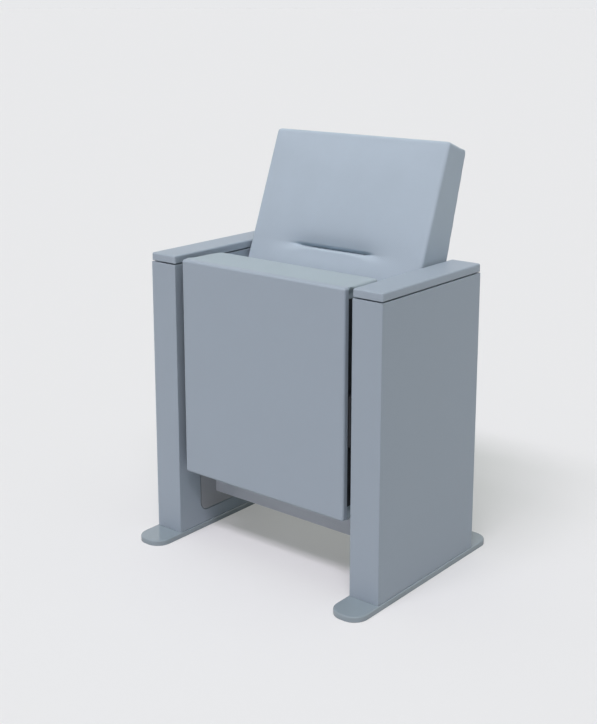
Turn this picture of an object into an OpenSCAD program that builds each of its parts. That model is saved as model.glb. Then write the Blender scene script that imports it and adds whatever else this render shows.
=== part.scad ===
// Tip up auditorium seat with a tilting back, between two casing sides on foot plates.
// Origin on the floor, midway between the sides and at the middle of their depth.
// X across, Y from the front to the rear, Z up. Left and right are as seen from the front.

/* [Overall] */
// Width across the outer faces of the two side casings
overall_w = 620; // [580:1:720]
// Front to back length of a side casing
side_depth = 354; // [340:1:420]
// Thickness of a side casing
side_t = 71; // [68:1:90]
// Gap between the seat and each side casing
seat_gap = 19.5; // [18:0.5:24]
// Gap between the back and each side casing
back_gap = 4; // [3:0.5:8]

/* [Foot plate] */
// Length of a foot plate
foot_len = 500; // [440:1:600]
// Thickness of a foot plate
foot_t = 12; // [8:1:16]
// How far a foot plate stands out on each side of its casing
foot_margin = 3; // [1:0.5:8]
// Corner radius of a foot plate, seen from above
foot_corner_r = 34; // [20:1:36]
// Diameter of an anchor bolt hole
anchor_d = 11; // [9:0.5:14]
// Distance between the two anchor bolt holes of one foot plate
anchor_pitch = 240; // [200:1:280]

/* [Casing] */
// Thickness of a casing board
board_t = 12; // [10:0.5:14]
// Thickness of an armrest cap
cap_t = 17; // [12:1:25]
// Length of the inner cover plate
cover_len = 217; // [200:1:230]
// Height of the cover plate's foot above the foot plate
cover_up = 30.5; // [25:0.5:40]
// Distance of the cover plate's top below the top of the boards
cover_down = 30.5; // [25:0.5:40]
// Thickness of the cover plate
cover_t = 3; // [2:0.5:4]
// Corner radius of the cover plate
cover_corner_r = 20; // [10:1:30]
// Width of the groove round the cover plate
cover_groove = 1.6; // [0.8:0.1:3]

/* [Side frame] */
// Sheet thickness of the pressed side frame
sheet_t = 3; // [2.5:0.5:4]
// How far the side frame's flanges stand out from its web
flange_d = 38; // [34:1:42]
// Outer radius of a bush housing
housing_r = 20; // [18:1:23]
// Length of a bush housing
housing_len = 16; // [12:1:18]

/* [Seat] */
// Height of the tipped up seat's foot above the floor
seat_z = 165; // [160:1:180]
// Height of the tipped up seat
seat_h = 483; // [460:1:500]
// Thickness of the seat, with its underside panel
seat_thick = 130; // [120:1:140]
// How far the tipped up seat ends below the armrest tops
seat_drop = 4; // [0:1:10]
// How far the seat's underside stands behind the casing fronts
seat_setback = 0.6; // [0:0.2:4]
// Thickness of the underside panel
under_t = 14; // [12:1:18]
// Edge radius of the underside panel
under_r = 6; // [4:1:10]
// Crown of the sitting face
seat_crown = 12; // [4:1:16]
// Height of the seat pivot above the foot of the tipped up seat
seat_pivot_up = 192; // [186:1:196]
// Distance of the seat pivot behind the seat's underside
seat_pivot_in = 45; // [42:1:48]
// How far the seat tips down, in degrees
seat_range = 85; // [80:1:88]

/* [Back] */
// Height of the back's top edge above the armrest tops
back_rise = 253; // [220:1:280]
// Distance of the back's top front edge behind the casing's middle
back_top_y = 161; // [158:1:168]
// Length of the back's front face
back_len = 469; // [455:1:472]
// Thickness of the back at its top
back_top_t = 73; // [68:1:85]
// Lean of the back from the vertical, in degrees
back_lean = 21; // [20:0.5:22]
// Taper between the front and rear faces of the back, in degrees
back_taper = 5.2; // [4.5:0.1:6]
// Edge radius of the back
back_r = 9; // [6:1:12]
// Distance of the crease below the back's top edge
crease_down = 261; // [240:1:280]
// Length of the crease
crease_len = 216; // [160:1:260]
// Depth of the crease
crease_deep = 13; // [8:1:16]
// Height of the padding's bulge below the crease
crease_bulge = 5; // [0:1:8]
// Distance of the back pivot above the back's foot
back_pivot_up = 35; // [32:1:38]
// Distance of the back pivot behind the back's front face
back_pivot_in = 40; // [38:1:42]
// How far the back tilts forward, in degrees
back_range = 18; // [10:1:18]

/* [Crossbar] */
// Depth of the crossbar from front to rear
bar_depth = 40; // [30:1:44]
// Height of the crossbar
bar_h = 70; // [50:1:74]
// Wall of the crossbar tube
bar_wall = 3; // [2:0.5:4]
// Height of the crossbar's foot above the foot plates
bar_up = 64; // [50:1:66]
// Distance of the crossbar's front behind the casing fronts
bar_in = 117.5; // [112:0.5:122]

/* [Hidden] */

// Sides of a round face
$fn = 48;
// Overrun of every cut
cut = 1;
// Radial clearance of a pin that turns in its bush
run_fit = 0.05;
// Radial clearance of a part that is pushed or screwed into its hole
push_fit = 0.05;
// Radial clearance of a bolt that passes through a hole
pass_fit = 0.5;
// Clearance between a soft part and what it holds
soft_fit = 0.3;
// Colours
steel = [0.42, 0.44, 0.47];
bright_steel = [0.66, 0.67, 0.69];
casing_blue = [0.55, 0.60, 0.65];
padding_blue = [0.62, 0.68, 0.73];
nylon = [0.85, 0.84, 0.80];
rubber = [0.10, 0.10, 0.11];

// Places of the casing, whose armrests stand just above the tipped up seat
seat_top = seat_z + seat_h;
arm_h = seat_top + seat_drop;
inner_x = overall_w / 2 - side_t;
outer_x = overall_w / 2;
mid_x = (inner_x + outer_x) / 2;
half_d = side_depth / 2;
cap_gap = sheet_t;
board_top = arm_h - cap_t - cap_gap;
cover_z = foot_t + cover_up;
cover_h = board_top - cover_down - cover_z;
web_x = inner_x + board_t;
web_out_x = web_x + sheet_t;
frame_half_d = half_d - board_t;
hollow_mid_x = (web_out_x + outer_x - board_t) / 2;

// Places of the seat
seat_w = 2 * (inner_x - seat_gap);
seat_x = seat_w / 2;
seat_y = -half_d + seat_setback;
seat_rear_y = seat_y + seat_thick;
under_y = seat_y + under_t;
seat_pivot = [seat_y + seat_pivot_in, seat_z + seat_pivot_up];

// Places of the back, where back_at turns a distance in from the front face and up from
// the top edge into a place in the Y and Z of the whole seat
back_w = 2 * (inner_x - back_gap);
back_x = back_w / 2;
back_top_z = arm_h + back_rise;
function back_at(in, up) = [
  back_top_y + in * cos(back_lean) + up * sin(back_lean),
  back_top_z - in * sin(back_lean) + up * cos(back_lean)
];
function back_rear(up) = back_top_t - up * tan(back_taper);
back_pivot_place = [back_pivot_in, back_pivot_up - back_len];
back_pivot = back_at(back_pivot_place[0], back_pivot_place[1]);

// Pins and bushes
pin_r = 9;
collar_r = 12;
collar_gap = 0.3;
bush_r = 13;
bush_flange_r = 17;
bush_flange_t = 3;
bush_tail = 2;
bush_flange_room = 1;
collar_end_x = web_x - bush_flange_t - collar_gap;
bush_end_x = web_out_x + housing_len + bush_tail;

// Hinge plates and their curved slots
hinge_t = 6;
hinge_r = 76;
slot_r = 56;
stop_r = 6;
sleeve_r = 9;
slot_play = 0.6;
slot_half = sleeve_r + slot_play;
stop_head_r = 10;
stop_head_t = 8;
stop_reach = 0.5;
sleeve_len = 9;
seat_stop_angle = 90;
back_stop_angle = 60;
hinge_front = 30;
hinge_foot = 36;
back_hinge_front = 18;
back_hinge_foot = 20;
seat_hinge_x = seat_x;
back_hinge_x = back_x - hinge_t;
function on_arc(centre, radius, angle) = [centre[0] + radius * cos(angle), centre[1] + radius * sin(angle)];
seat_stop = on_arc(seat_pivot, slot_r, seat_stop_angle);
back_stop_place = on_arc(back_pivot_place, slot_r, back_stop_angle);
back_stop = back_at(back_stop_place[0], back_stop_place[1]);

// Return spring on the outer end of each seat pin
wire_r = 2.5;
wire_sides = 8;
wire_gap = 0.6;
coil_r = 15.5;
coil_turns = 2.5;
coil_steps = 20;
coil_pitch = 2 * wire_r + wire_gap;
leg_len = 35;
leg_reach = 6;
coil_gap = 1.5;
coil_x = bush_end_x + wire_r + coil_gap;
coil_end_x = coil_x + coil_turns * coil_pitch;
slot_seat = 0.3;
pin_end_x = coil_end_x + wire_r + slot_seat;
peg_r = 5;
peg_drop = 31;
peg_y = seat_pivot[0] + coil_r + wire_r + soft_fit + peg_r;

// Seat frame
rail_w = 20;
rail_depth = 48;
cross_depth = 25;
cross_h = 25;
rail_wall = 2;
rail_inset = 4.5;
rail_end = 26;
boss_r = 14;
screw_boss_r = 9;
seat_rail_x = seat_x - rail_inset;
seat_hollow_x = seat_rail_x - rail_w + rail_wall + cut;
seat_boss_x = seat_rail_x - rail_w + rail_wall / 2;
seat_rail_z = seat_z + rail_end;
seat_rail_top = seat_top - rail_end;
seat_screw_in = 5;
seat_screw_up = 31;
seat_screw_down = 26;
seat_screws = [[-seat_screw_in, seat_screw_up], [-seat_screw_in, -seat_screw_down]];

// Back frame
back_rail_inset = 15;
back_rail_depth = 28;
back_rail_in = back_pivot_in - back_rail_depth / 2;
back_rail_rear = back_rail_in + back_rail_depth;
back_rail_x = back_x - back_rail_inset;
back_hollow_x = back_rail_x - rail_w + rail_wall + cut;
back_boss_x = back_rail_x - rail_w + rail_wall / 2;
back_rail_top = 34;
back_rail_foot = 15;
back_screw_low = 28;
back_screw_high = 64;
back_screws = [[0, back_screw_low], [0, back_screw_high]];
rear_panel_t = 8;
rear_panel_edge = 14;
rear_panel_r = 12;
rear_boss_r = 8;

// Fasteners
bolt_r = 4;
bolt_head_r = 6.5;
bolt_head_t = 6;
bolt_bite = 14;
screw_r = 2.5;
screw_head_r = 5;
screw_head_t = 4;
screw_bite = 8;
cap_bite = 12;
button_head_r = 7;
button_head_t = 4;
stud_r = 3;
nut_r = 5.5;
nut_t = 4;
nut_sides = 6;

// Places of the casing's fasteners
cap_screw_y = 120;
casing_screw_in = 32;
casing_screw_up = 70;
casing_screw_down = 40;
flange_screw_inset = 110;
casing_screw_y = frame_half_d - casing_screw_in;
casing_screw_z = [foot_t + casing_screw_up, board_top - casing_screw_down];
flange_screw_z = [foot_t + flange_screw_inset, board_top - flange_screw_inset];
stud_inset = 22;
stud_y = cover_len / 2 - stud_inset;
stud_z = [cover_z + stud_inset, cover_z + cover_h - stud_inset];
bar_y = -half_d + bar_in;
bar_z = foot_t + bar_up;
bar_bolt_y = bar_y + bar_depth / 2;
bar_bolt_shares = [0.25, 0.75];
bar_bolt_z = [for (share = bar_bolt_shares) bar_z + bar_h * share];
bar_plate_t = 6;

// Draws a piece of the right side as it is, or of the left side mirrored
module handed(side) {
  if (side == "left") mirror([1, 0, 0]) children();
  else children();
}

// Draws a piece on both sides
module both_sides() {
  children();
  mirror([1, 0, 0]) children();
}

// Turns a flat shape so that its X and Y lie along Y and Z and its height along X
module along_x(x, place) {
  translate([x, place[0], place[1]]) rotate([90, 0, 90]) children();
}

// Round rod along X
module rod(x0, x1, place, r) {
  along_x(x0, place) cylinder(h = x1 - x0, r = r);
}

// Round cut along X that runs past both faces
module drill(x0, x1, place, r) {
  rod(x0 - cut, x1 + cut, place, r);
}

// Box between two corners
module block(low, high) {
  translate(low) cube(high - low);
}

// Flat rectangle with round corners, centred
module round_rect(w, h, r) {
  square([w - 2 * r, h], center = true);
  square([w, h - 2 * r], center = true);
  for (sx = [-1, 1], sy = [-1, 1]) translate([sx * (w / 2 - r), sy * (h / 2 - r)]) circle(r = r);
}

// Tube along a route, with its rings turned about X
function unit(v) = v / norm(v);
function route_turn(p, i) = unit(p[min(i + 1, len(p) - 1)] - p[max(i - 1, 0)]);
function ring(p, i, r, n) =
  let (t = route_turn(p, i), u = unit([1, 0, 0] - t[0] * t), v = cross(t, u))
  [for (k = [0 : n - 1]) p[i] + r * (cos(k * 360 / n) * u + sin(k * 360 / n) * v)];
module route_tube(p, r, n) {
  ring_skin([for (i = [0 : len(p) - 1]) ring(p, i, r, n)]);
}

// Closed skin over rings of equal length, with flat ends
module ring_skin(rings) {
  n = len(rings[0]);
  last = len(rings) - 1;
  points = [for (r = rings) each r];
  sides = [
    for (i = [0 : last - 1], k = [0 : n - 1])
      let (a = i * n + k, b = i * n + (k + 1) % n)
      each [[a, a + n, b], [b, a + n, b + n]]
  ];
  ends = [[for (k = [0 : n - 1]) k], [for (k = [n - 1 : -1 : 0]) last * n + k]];
  polyhedron(points = points, faces = concat(sides, ends));
}

// How far a round edge of radius r has drawn in, at distance d from the end face
function edge_in(d, r) = d >= r ? 0 : r - sqrt(r * r - (r - d) * (r - d));

// Foot plate with its anchor holes inside the casing
module base_plate() {
  color(steel) difference() {
    translate([mid_x, 0, 0])
      linear_extrude(height = foot_t) round_rect(side_t + 2 * foot_margin, foot_len, foot_corner_r);
    for (sy = [-1, 1])
      translate([hollow_mid_x, sy * anchor_pitch / 2, -cut])
        cylinder(h = foot_t + 2 * cut, r = anchor_d / 2);
  }
}

// Pressed channel with its web against the inner board
module side_frame() {
  color(steel) difference() {
    union() {
      block([web_x, -frame_half_d, foot_t], [web_out_x, frame_half_d, board_top]);
      for (sy = [-1, 1])
        translate([web_x, sy * (frame_half_d - sheet_t / 2) - sheet_t / 2, foot_t])
          cube([flange_d + sheet_t, sheet_t, board_top - foot_t]);
      block(
        [web_x, -frame_half_d, board_top],
        [web_out_x + flange_d, frame_half_d, board_top + cap_gap]
      );
      for (p = [seat_pivot, back_pivot]) rod(web_x, web_out_x + housing_len, p, housing_r);
      rod(web_x, coil_x + wire_r, [peg_y, seat_pivot[1] - peg_drop], peg_r);
    }
    for (p = [seat_pivot, back_pivot]) drill(web_x, web_out_x + housing_len, p, bush_r + push_fit);
    for (p = [seat_stop, back_stop]) drill(web_x, web_out_x, p, stop_r + push_fit);
    for (z = bar_bolt_z) drill(web_x, web_out_x, [bar_bolt_y, z], bolt_r + pass_fit);
    for (sy = [-1, 1], z = casing_screw_z)
      drill(web_x, web_out_x, [sy * casing_screw_y, z], screw_r + pass_fit);
    for (sy = [-1, 1], z = stud_z) drill(web_x, web_out_x, [sy * stud_y, z], stud_r + pass_fit);
    for (sy = [-1, 1], z = flange_screw_z)
      translate([hollow_mid_x, sy * (frame_half_d - sheet_t / 2), z]) rotate([90, 0, 0])
        cylinder(h = sheet_t + 2 * cut, r = screw_r + pass_fit, center = true);
    for (sy = [-1, 1])
      translate([hollow_mid_x, sy * cap_screw_y, board_top - cut])
        cylinder(h = cap_gap + 2 * cut, r = screw_r + pass_fit);
  }
}

// Casing board with mitred ends, from its outline in X and Y
module board(outline) {
  translate([0, 0, foot_t]) linear_extrude(height = board_top - foot_t) polygon(outline);
}

// Inner board with the shallow pocket of the cover plate
module inner_board() {
  color(casing_blue) difference() {
    board([
      [inner_x, -half_d], [inner_x + board_t, -half_d + board_t],
      [inner_x + board_t, half_d - board_t], [inner_x, half_d]
    ]);
    along_x(inner_x - cut, [0, cover_z + cover_h / 2])
      linear_extrude(height = cut + cover_t)
        round_rect(cover_len + 2 * cover_groove, cover_h + 2 * cover_groove, cover_corner_r + cover_groove);
    for (p = [seat_pivot, back_pivot]) drill(inner_x, web_x, p, bush_flange_r + bush_flange_room);
    for (p = [seat_stop, back_stop]) drill(inner_x, web_x, p, stop_r + pass_fit);
    for (z = bar_bolt_z) drill(inner_x, web_x, [bar_bolt_y, z], bolt_r + pass_fit);
    for (sy = [-1, 1], z = stud_z) drill(inner_x, web_x, [sy * stud_y, z], stud_r + pass_fit);
    for (sy = [-1, 1], z = casing_screw_z)
      rod(web_x - screw_bite, web_x + cut, [sy * casing_screw_y, z], screw_r + push_fit);
  }
}

// Outer board
module outer_board() {
  color(casing_blue) board([
    [outer_x, -half_d], [outer_x, half_d],
    [outer_x - board_t, half_d - board_t], [outer_x - board_t, -half_d + board_t]
  ]);
}

// End board at the front, with a side of -1, or at the rear, with a side of 1
module end_board(sy) {
  color(casing_blue) difference() {
    board([
      [inner_x, sy * half_d], [outer_x, sy * half_d],
      [outer_x - board_t, sy * (half_d - board_t)], [inner_x + board_t, sy * (half_d - board_t)]
    ]);
    for (z = flange_screw_z)
      translate([hollow_mid_x, sy * (half_d - board_t - cut), z]) rotate([-sy * 90, 0, 0])
        cylinder(h = screw_bite + cut, r = screw_r + push_fit);
  }
}

// Armrest cap on the side frame's top flange
module armrest_cap() {
  color(casing_blue) difference() {
    block([inner_x, -half_d, arm_h - cap_t], [outer_x, half_d, arm_h]);
    for (sy = [-1, 1])
      translate([hollow_mid_x, sy * cap_screw_y, arm_h - cap_t - cut])
        cylinder(h = cap_bite + cut, r = screw_r + push_fit);
  }
}

// Inner cover plate with its four welded studs
module inner_cover() {
  color(casing_blue) {
    difference() {
      along_x(inner_x, [0, cover_z + cover_h / 2])
        linear_extrude(height = cover_t) round_rect(cover_len, cover_h, cover_corner_r);
      drill(inner_x, inner_x + cover_t, back_pivot, collar_r + bush_flange_room);
      drill(inner_x, inner_x + cover_t, back_stop, stop_r + pass_fit);
      for (z = bar_bolt_z) drill(inner_x, inner_x + cover_t, [bar_bolt_y, z], bolt_r + pass_fit);
    }
    for (sy = [-1, 1], z = stud_z)
      rod(inner_x + cover_t / 2, web_out_x + nut_t + stud_r, [sy * stud_y, z], stud_r);
  }
}

// Flanged bush in its housing
module bush(place) {
  color(nylon) difference() {
    union() {
      rod(web_x - bush_flange_t, web_x, place, bush_flange_r);
      rod(web_x - bush_flange_t, bush_end_x, place, bush_r);
    }
    drill(web_x - bush_flange_t, bush_end_x, place, pin_r + run_fit);
  }
}

// Torsion spring: a leg against the frame's peg, the coil, and a leg across the pin's slotted end
module return_spring() {
  py = seat_pivot[0];
  pz = seat_pivot[1];
  steps = coil_turns * coil_steps;
  start = [[coil_x, py + coil_r, pz - leg_len], [coil_x, py + coil_r, pz - leg_len / 2]];
  coil = [
    for (i = [0 : steps])
      let (a = i * 360 / coil_steps)
      [coil_x + coil_pitch * i / coil_steps, py + coil_r * cos(a), pz + coil_r * sin(a)]
  ];
  finish = [[coil_end_x, py, pz], [coil_end_x, py + leg_reach, pz]];
  color(bright_steel) route_tube(concat(start, coil, finish), wire_r, wire_sides);
}

// Headed stop pin through the web, to just short of the hinge plate's seat
module stop_pin(tip_x, place) {
  color(bright_steel) {
    rod(tip_x, web_out_x + cut, place, stop_r);
    rod(web_out_x, web_out_x + stop_head_t, place, stop_head_r);
  }
}

// Rubber sleeve on a stop pin
module stop_sleeve(tip_x, place) {
  color(rubber) difference() {
    rod(tip_x, tip_x + sleeve_len, place, sleeve_r);
    drill(tip_x, tip_x + sleeve_len, place, stop_r + push_fit);
  }
}

// Crossbar tube, open at its ends
module crossbar() {
  color(casing_blue) difference() {
    block([-inner_x, bar_y, bar_z], [inner_x, bar_y + bar_depth, bar_z + bar_h]);
    block(
      [-inner_x - cut, bar_y + bar_wall, bar_z + bar_wall],
      [inner_x + cut, bar_y + bar_depth - bar_wall, bar_z + bar_h - bar_wall]
    );
  }
}

// Plates welded in the tube's ends, threaded for the bolts
module crossbar_end_plates() {
  color(steel) both_sides() difference() {
    block(
      [inner_x - bar_plate_t, bar_y + bar_wall, bar_z + bar_wall],
      [inner_x, bar_y + bar_depth - bar_wall, bar_z + bar_h - bar_wall]
    );
    for (z = bar_bolt_z) drill(inner_x - bar_plate_t, inner_x, [bar_bolt_y, z], bolt_r + push_fit);
  }
}

// Bolts from inside each casing into the crossbar
module crossbar_bolts() {
  color(bright_steel) both_sides() for (z = bar_bolt_z) {
    rod(inner_x - bolt_bite, web_out_x + cut, [bar_bolt_y, z], bolt_r);
    rod(web_out_x, web_out_x + bolt_head_t, [bar_bolt_y, z], bolt_head_r);
  }
}

// Screws from under the top flanges into the armrest caps
module cap_screws() {
  color(bright_steel) both_sides() for (sy = [-1, 1]) translate([hollow_mid_x, sy * cap_screw_y, 0]) {
    translate([0, 0, board_top - screw_head_t]) cylinder(h = screw_head_t, r = screw_head_r);
    translate([0, 0, board_top - cut]) cylinder(h = cap_gap + cap_bite, r = screw_r);
  }
}

// Screws from each side frame into its boards
module casing_screws() {
  color(bright_steel) both_sides() for (sy = [-1, 1]) {
    for (z = casing_screw_z) {
      rod(web_x - screw_bite + cut, web_out_x + cut, [sy * casing_screw_y, z], screw_r);
      rod(web_out_x, web_out_x + screw_head_t, [sy * casing_screw_y, z], screw_head_r);
    }
    for (z = flange_screw_z)
      translate([hollow_mid_x, sy * (frame_half_d - sheet_t), z]) rotate([-sy * 90, 0, 0]) {
        cylinder(h = sheet_t + screw_bite - cut, r = screw_r);
        translate([0, 0, -screw_head_t]) cylinder(h = screw_head_t, r = screw_head_r);
      }
  }
}

// Nuts on the cover plates' studs
module cover_nuts() {
  color(bright_steel) both_sides() for (sy = [-1, 1], z = stud_z) difference() {
    along_x(web_out_x, [sy * stud_y, z]) cylinder(h = nut_t, r = nut_r, $fn = nut_sides);
    drill(web_out_x, web_out_x + nut_t, [sy * stud_y, z], stud_r + push_fit);
  }
}

// Places of the screws that hold the underside panel
panel_screw_x = (seat_w - 2 * rail_inset) / 3;
panel_screw_z = [seat_rail_z + cross_h / 2, seat_rail_top - cross_h / 2];

// Underside panel, with round edges at its outer face
under_sides = 32;
module seat_underpanel() {
  color(casing_blue) difference() {
    intersection() {
      hull() for (sx = [-1, 1], z = [seat_z + under_r, seat_top - under_r])
        translate([sx * (seat_x - under_r), seat_y + under_r, z]) {
          sphere(r = under_r, $fn = under_sides);
          rotate([-90, 0, 0]) cylinder(h = under_t, r = under_r, $fn = under_sides);
        }
      block([-seat_w, seat_y - cut, 0], [seat_w, under_y, arm_h]);
    }
    for (x = [-panel_screw_x, 0, panel_screw_x], z = panel_screw_z)
      translate([x, under_y - screw_bite, z]) rotate([-90, 0, 0])
        cylinder(h = screw_bite + cut, r = screw_r + push_fit);
  }
}

// Height levels of a soft form, as distances from its foot, close together at both ends
edge_shares = [0, 0.09, 0.33, 1];
function levels(span, r, n) = concat(
  [for (share = edge_shares) r * share],
  [for (i = [1 : n - 1]) r + (span - 2 * r) * i / n],
  [for (i = [len(edge_shares) - 1 : -1 : 0]) span - r * edge_shares[i]]
);

// Seat padding: straight where it meets the panel, crowned and drawn in at the sitting face
cushion_r = 14;
cushion_side_r = 4;
cushion_draw = 2.5;
crown_ease = 3;
cushion_rows = 9;
cushion_columns = 12;
cushion_corner_steps = 4;
function seat_ring(d) =
  let (
    near = min(d, seat_h - d),
    a = seat_x - edge_in(near, cushion_side_r),
    rise = seat_crown * (1 - pow(abs(2 * d / seat_h - 1), crown_ease)),
    rear = seat_rear_y - edge_in(near, cushion_r),
    ar = a - cushion_draw - cushion_r
  )
  [
    for (p = concat(
      [[a, under_y], [a, under_y + (rear - under_y) / 2]],
      [for (i = [0 : cushion_corner_steps])
        [ar + cushion_r * cos(i * 90 / cushion_corner_steps),
         rear - cushion_r + cushion_r * sin(i * 90 / cushion_corner_steps)]],
      [for (i = [1 : cushion_columns - 1])
        let (x = ar * (1 - 2 * i / cushion_columns))
        [x, rear + rise * (1 - pow(abs(x / ar), crown_ease))]],
      [for (i = [0 : cushion_corner_steps])
        [-ar - cushion_r * sin(i * 90 / cushion_corner_steps),
         rear - cushion_r + cushion_r * cos(i * 90 / cushion_corner_steps)]],
      [[-a, under_y + (rear - under_y) / 2], [-a, under_y]]
    )) [p[0], p[1], seat_z + d]
  ];

module seat_cushion() {
  color(padding_blue) difference() {
    ring_skin([for (d = levels(seat_h, cushion_r, cushion_rows)) seat_ring(d)]);
    seat_frame_bars(soft_fit, true);
    both_sides() {
      rod(seat_rail_x - cut, seat_x + cut, seat_pivot, boss_r + soft_fit);
      for (s = seat_screws) rod(seat_rail_x - cut, seat_x + cut, seat_pivot + s, screw_boss_r + soft_fit);
    }
    for (x = [-panel_screw_x, 0, panel_screw_x], z = panel_screw_z)
      translate([x, under_y + cross_depth, z]) rotate([-90, 0, 0])
        cylinder(h = screw_head_t + soft_fit, r = screw_head_r + soft_fit);
  }
}

// Outline bars of the seat frame, grown by a clearance, and run past the panel's face for a cut
module seat_frame_bars(grow, as_cut) {
  front = as_cut ? under_y - cut : under_y;
  both_sides()
    block(
      [seat_rail_x - rail_w - grow, front, seat_rail_z - grow],
      [seat_rail_x + grow, under_y + rail_depth + grow, seat_rail_top + grow]
    );
  for (z = [seat_rail_z, seat_rail_top - cross_h])
    block(
      [-seat_rail_x + rail_w / 2, front, z - grow],
      [seat_rail_x - rail_w / 2, under_y + cross_depth + grow, z + cross_h + grow]
    );
}

// Tube frame in the padding's pocket, with solid bosses for the pivot and the hinge screws
module seat_frame() {
  color(steel) difference() {
    union() {
      difference() {
        seat_frame_bars(0, false);
        both_sides()
          block(
            [seat_rail_x - rail_w + rail_wall, under_y + rail_wall, seat_rail_z - cut],
            [seat_rail_x - rail_wall, under_y + rail_depth - rail_wall, seat_rail_top + cut]
          );
        for (z = [seat_rail_z, seat_rail_top - cross_h])
          block(
            [-seat_hollow_x, under_y + rail_wall, z + rail_wall],
            [seat_hollow_x, under_y + cross_depth - rail_wall, z + cross_h - rail_wall]
          );
      }
      both_sides() {
        rod(seat_boss_x, seat_x, seat_pivot, boss_r);
        for (s = seat_screws) rod(seat_boss_x, seat_x, seat_pivot + s, screw_boss_r);
      }
    }
    both_sides() {
      drill(seat_rail_x - rail_w, seat_x, seat_pivot, pin_r + push_fit);
      for (s = seat_screws) drill(seat_rail_x - rail_w, seat_x, seat_pivot + s, bolt_r + push_fit);
    }
    for (x = [-panel_screw_x, 0, panel_screw_x], z = panel_screw_z)
      translate([x, under_y - cut, z]) rotate([-90, 0, 0])
        cylinder(h = cross_depth + 2 * cut, r = screw_r + pass_fit);
  }
}

// Part disc with a curved slot, centred on the pivot, seen with Y to the right and Z up
module hinge_disc(front, foot, rest, sweep, screws) {
  difference() {
    intersection() {
      cylinder(h = hinge_t, r = hinge_r);
      translate([-front, -foot, -cut]) cube([front + hinge_r, foot + hinge_r, hinge_t + 2 * cut]);
    }
    translate([0, 0, -cut]) cylinder(h = hinge_t + 2 * cut, r = pin_r + push_fit);
    for (a = [rest - sweep, rest])
      translate([slot_r * cos(a), slot_r * sin(a), -cut]) cylinder(h = hinge_t + 2 * cut, r = slot_half);
    translate([0, 0, -cut]) rotate([0, 0, rest - sweep])
      rotate_extrude(angle = sweep)
        translate([slot_r - slot_half, 0]) square([2 * slot_half, hinge_t + 2 * cut]);
    for (s = screws) translate([s[0], s[1], -cut]) cylinder(h = hinge_t + 2 * cut, r = bolt_r + pass_fit);
  }
}

// Hinge plate on the seat's side
module seat_hinge_plate() {
  color(steel) along_x(seat_hinge_x, seat_pivot)
    hinge_disc(hinge_front, hinge_foot, seat_stop_angle, seat_range, seat_screws);
}

// Pivot pin with its collar, slotted at its end for the spring where it has one
module pivot_pin(start_x, collar_x, end_x, place, spring_slot) {
  color(bright_steel) difference() {
    union() {
      rod(start_x, end_x, place, pin_r);
      rod(collar_x, collar_end_x, place, collar_r);
    }
    if (spring_slot)
      block(
        [coil_end_x - wire_r - slot_seat, place[0] - pin_r - cut, place[1] - wire_r - slot_seat],
        [end_x + cut, place[0] + pin_r + cut, place[1] + wire_r + slot_seat]
      );
  }
}

module seat_pivot_pin() {
  pivot_pin(seat_rail_x - rail_w, seat_hinge_x + hinge_t, pin_end_x, seat_pivot, true);
}

// Button head screw along X, with its head on a face
module button_screw(face_x, place) {
  rod(face_x - hinge_t - bolt_bite, face_x + cut, place, bolt_r);
  rod(face_x, face_x + button_head_t, place, button_head_r);
}

module seat_hinge_screws() {
  color(bright_steel) both_sides() for (s = seat_screws)
    button_screw(seat_hinge_x + hinge_t, seat_pivot + s);
}

// Screws from the frame's cross rails into the underside panel
module seat_panel_screws() {
  color(bright_steel) for (x = [-panel_screw_x, 0, panel_screw_x], z = panel_screw_z)
    translate([x, under_y - screw_bite + cut, z]) rotate([-90, 0, 0]) {
      cylinder(h = screw_bite + cross_depth, r = screw_r);
      translate([0, 0, screw_bite - cut + cross_depth]) cylinder(h = screw_head_t, r = screw_head_r);
    }
}

// Draws a piece of the back in the back's own frame, with its top front edge at the origin
module in_back() {
  translate([0, back_top_y, back_top_z]) rotate([-back_lean, 0, 0]) children();
}

// Back padding, with the crease pinched into its front face
crease_above = 20;
crease_below = 5;
crease_lip = 26;
crease_lip_w = 24;
crease_end_ease = 10;
crease_pinch_ease = 1.3;
back_side_columns = 22;
back_corner_steps = 3;
function crease_at(x, up) =
  let (
    s = up + crease_down,
    along = 1 / (1 + pow(abs(2 * x / crease_len), crease_end_ease)),
    pinch = s >= 0 ? exp(-pow(s / crease_above, crease_pinch_ease)) : exp(-pow(s / crease_below, 2)),
    lip = exp(-pow((s + crease_lip) / crease_lip_w, 2))
  )
  along * (crease_deep * pinch - crease_bulge * lip);
function back_ring(up) =
  let (
    near = min(-up, up + back_len),
    a = back_x - edge_in(near, back_r),
    front = edge_in(near, back_r),
    rear = back_rear(up) - edge_in(near, back_r),
    ar = a - back_r,
    step = 90 / back_corner_steps
  )
  [
    for (p = concat(
      [for (i = [0 : back_corner_steps])
        [ar + back_r * cos(i * step), rear - back_r + back_r * sin(i * step)]],
      [for (i = [0 : back_corner_steps])
        [-ar - back_r * sin(i * step), rear - back_r + back_r * cos(i * step)]],
      [for (i = [0 : back_corner_steps])
        [-ar - back_r * cos(i * step), front + back_r - back_r * sin(i * step)]],
      [for (i = [1 : back_side_columns - 1])
        let (x = -ar + 2 * ar * i / back_side_columns)
        [x, front + crease_at(x, up)]],
      [for (i = [0 : back_corner_steps])
        [ar + back_r * sin(i * step), front + back_r - back_r * cos(i * step)]]
    )) [p[0], p[1], up]
  ];
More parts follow.
